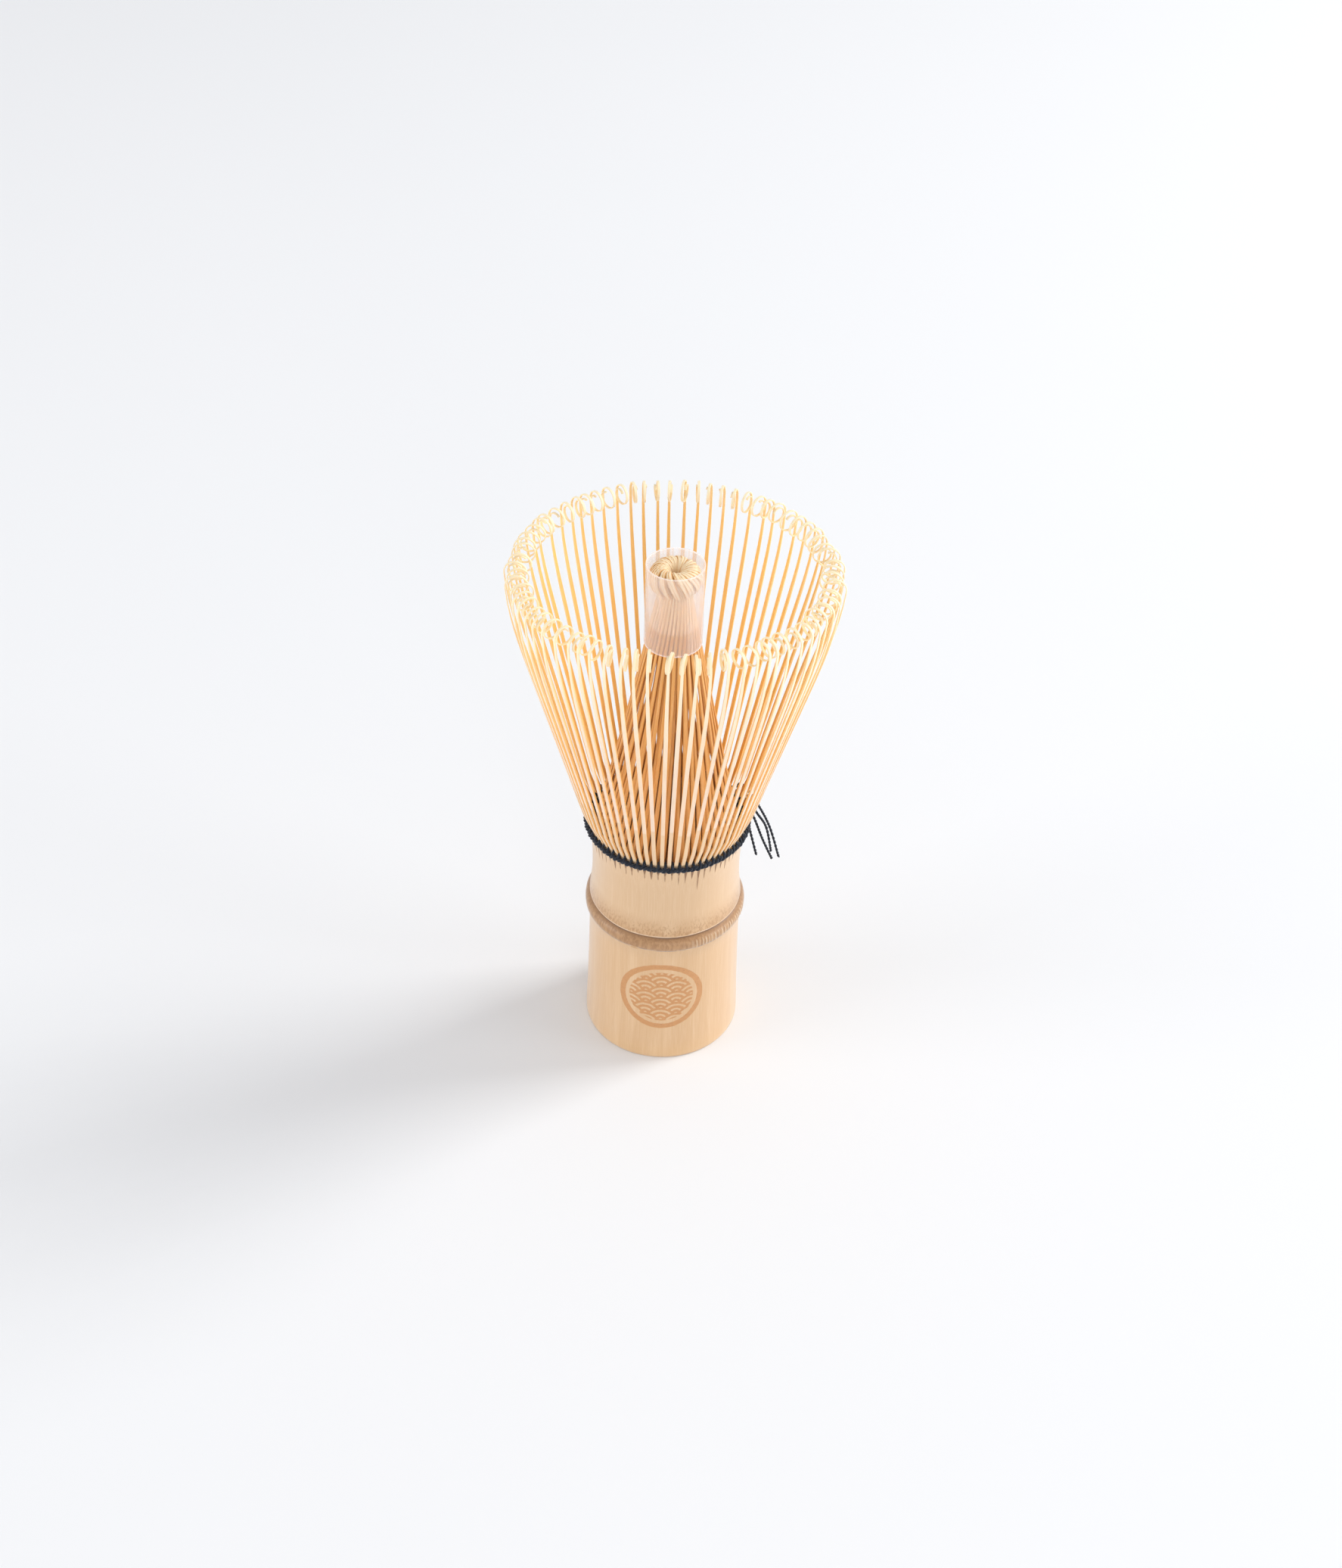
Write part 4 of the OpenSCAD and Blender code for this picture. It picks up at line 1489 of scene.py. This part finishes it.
@dataclass
class Sleeve:
    """The clear film tube that holds the bundle's head."""

    layout: Layout
    wall: float = 0.20 * MM
    around: int = 160
    inset: float = 0.02 * MM
    cuts: tuple = (0.25 * MM, 1.2 * MM)
    rim_h: float = 0.14 * MM

    def build(self) -> None:
        """Makes the tube and stands it for its node."""
        low, top, radius = self.layout.sleeve_low, self.layout.sleeve_top, self.layout.sleeve_r
        Bench.clear()
        bpy.ops.mesh.primitive_cylinder_add(
            vertices=self.around,
            radius=radius - self.inset,
            depth=top - low,
            end_fill_type="NOTHING",
            location=(0, 0, (low + top) / 2),
        )
        Bench.edit()
        bpy.ops.mesh.select_all(action="SELECT")
        bpy.ops.mesh.subdivide(number_cuts=1)
        tube = Bench.done()
        bpy.ops.object.transform_apply(location=True, rotation=True, scale=True)
        near, far = self.cuts
        for height in (low + near, low + far, top - far, top - near):
            self._ring_cut(tube, height)
        Bench.face_outwards(tube)
        Bench.modify(tube, "SOLIDIFY", {"thickness": self.wall, "offset": -1.0, "use_even_offset": True})
        Bench.modify(tube, "BEVEL", {"width": 0.05 * MM, "segments": 2, "limit_method": "ANGLE"})
        places = Bench.points(tube)
        angle = np.arctan2(places[:, 1], places[:, 0])
        height = (places[:, 2] - low) / (top - low)
        squeeze = 1 - 0.004 * (1 + np.cos(2 * angle + 0.8)) - 0.003 * np.sin(math.pi * height)
        places[:, :2] *= squeeze[:, None]
        Bench.move_points(tube, places)
        rim = [1.0 if z < low + self.rim_h or z > top - self.rim_h else 0.0 for z in places[:, 2]]
        Bench.numbers(tube, "rim", rim)
        Bench.finish(tube, "clear_tip_sleeve", SleeveFilm().build(), 40.0)
        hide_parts("tip_sleeve")
        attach(tube, Body.SLEEVE.value)
        LOG.info("sleeve: %d faces", len(tube.data.polygons))

    @staticmethod
    def _ring_cut(tube: bpy.types.Object, height: float) -> None:
        """Cuts a level ring of edges at a height."""
        Bench.only(tube)
        Bench.edit()
        bpy.ops.mesh.select_all(action="SELECT")
        bpy.ops.mesh.bisect(plane_co=(0, 0, height), plane_no=(0, 0, 1))
        Bench.done()


# ---- studio


@dataclass(frozen=True)
class Lamp:
    """A square soft lamp that faces the whisk; angles in degrees, power in watts."""

    name: str
    azimuth: float
    elevation: float
    away: float
    size: float
    power: float
    colour: Colour
    aim_z: float = 0.05

    def hang(self) -> None:
        """Puts the lamp in its place."""
        data = bpy.data.lights.new(self.name, "AREA")
        data.size = self.size
        data.energy = self.power
        data.color = self.colour
        target = Vector((0, 0, self.aim_z))
        rise = math.radians(self.elevation)
        out, up = self.away * math.cos(rise), self.away * math.sin(rise)
        where = target + polar(out, math.radians(self.azimuth), up)
        aim = (target - where).to_track_quat("-Z", "Y")
        Bench.add(self.name, data).matrix_world = Matrix.Translation(where) @ aim.to_matrix().to_4x4()


@dataclass
class Studio:
    """Pale floor, soft light from the right and a camera that looks down on the whisk."""

    floor_size: float = 6.0
    lens: float = 45.17
    camera_at: tuple = (0.000476, -0.27645, 0.28203)
    pitch: float = 39.229
    roll: float = 1.998
    sky: Colour = (0.975, 0.975, 0.995)
    sky_power: float = 0.62
    lamps: tuple = (
        Lamp("key", 22, 38, 1.9, 0.66, 18.5, (1.0, 0.995, 0.985)),
        Lamp("left_fill", 196, 9, 1.4, 0.8, 9.0, (1.0, 0.99, 0.985)),
        Lamp("right_fill", -14, 8, 1.4, 0.6, 7.0, (1.0, 0.99, 0.985)),
        Lamp("front_fill", -80, 12, 1.6, 0.7, 4.0, (1.0, 0.98, 0.96)),
    )

    def _camera(self) -> None:
        """Places the camera."""
        data = bpy.data.cameras.new("camera")
        data.lens = self.lens
        data.clip_start = 0.01
        camera = Bench.add("camera", data)
        down = Matrix.Rotation(math.radians(90 - self.pitch), 4, "X")
        level = Matrix.Rotation(math.radians(self.roll), 4, "Z")
        camera.matrix_world = Matrix.Translation(self.camera_at) @ down @ level
        bpy.context.scene.camera = camera

    def _floor(self) -> None:
        """Lays the floor."""
        Bench.clear()
        bpy.ops.mesh.primitive_plane_add(size=self.floor_size, location=(0, 0, 0))
        floor = bpy.context.active_object
        floor.name = "studio_floor"
        floor.data.materials.append(PaleFloor().build())

    def build(self) -> None:
        """Sets up camera, floor, lamps and sky."""
        self._camera()
        self._floor()
        for lamp in self.lamps:
            lamp.hang()
        world = bpy.data.worlds.new("sky")
        bpy.context.scene.world = world
        world.use_nodes = True
        sky = world.node_tree.nodes["Background"]
        sky.inputs[0].default_value = (*self.sky, 1.0)
        sky.inputs[1].default_value = self.sky_power
        bpy.context.scene.view_settings.view_transform = "Standard"


# ---- whole


def main() -> None:
    """Builds every sub-assembly in order."""
    logging.basicConfig(level=logging.INFO, format="%(message)s")
    layout = Layout.from_frame()
    Studio().build()
    Culm(layout).build()
    OuterCrown(layout).build()
    InnerBundle(layout).build()
    Lacing(layout).build()
    Sleeve(layout).build()


if __name__ == "__main__":
    main()
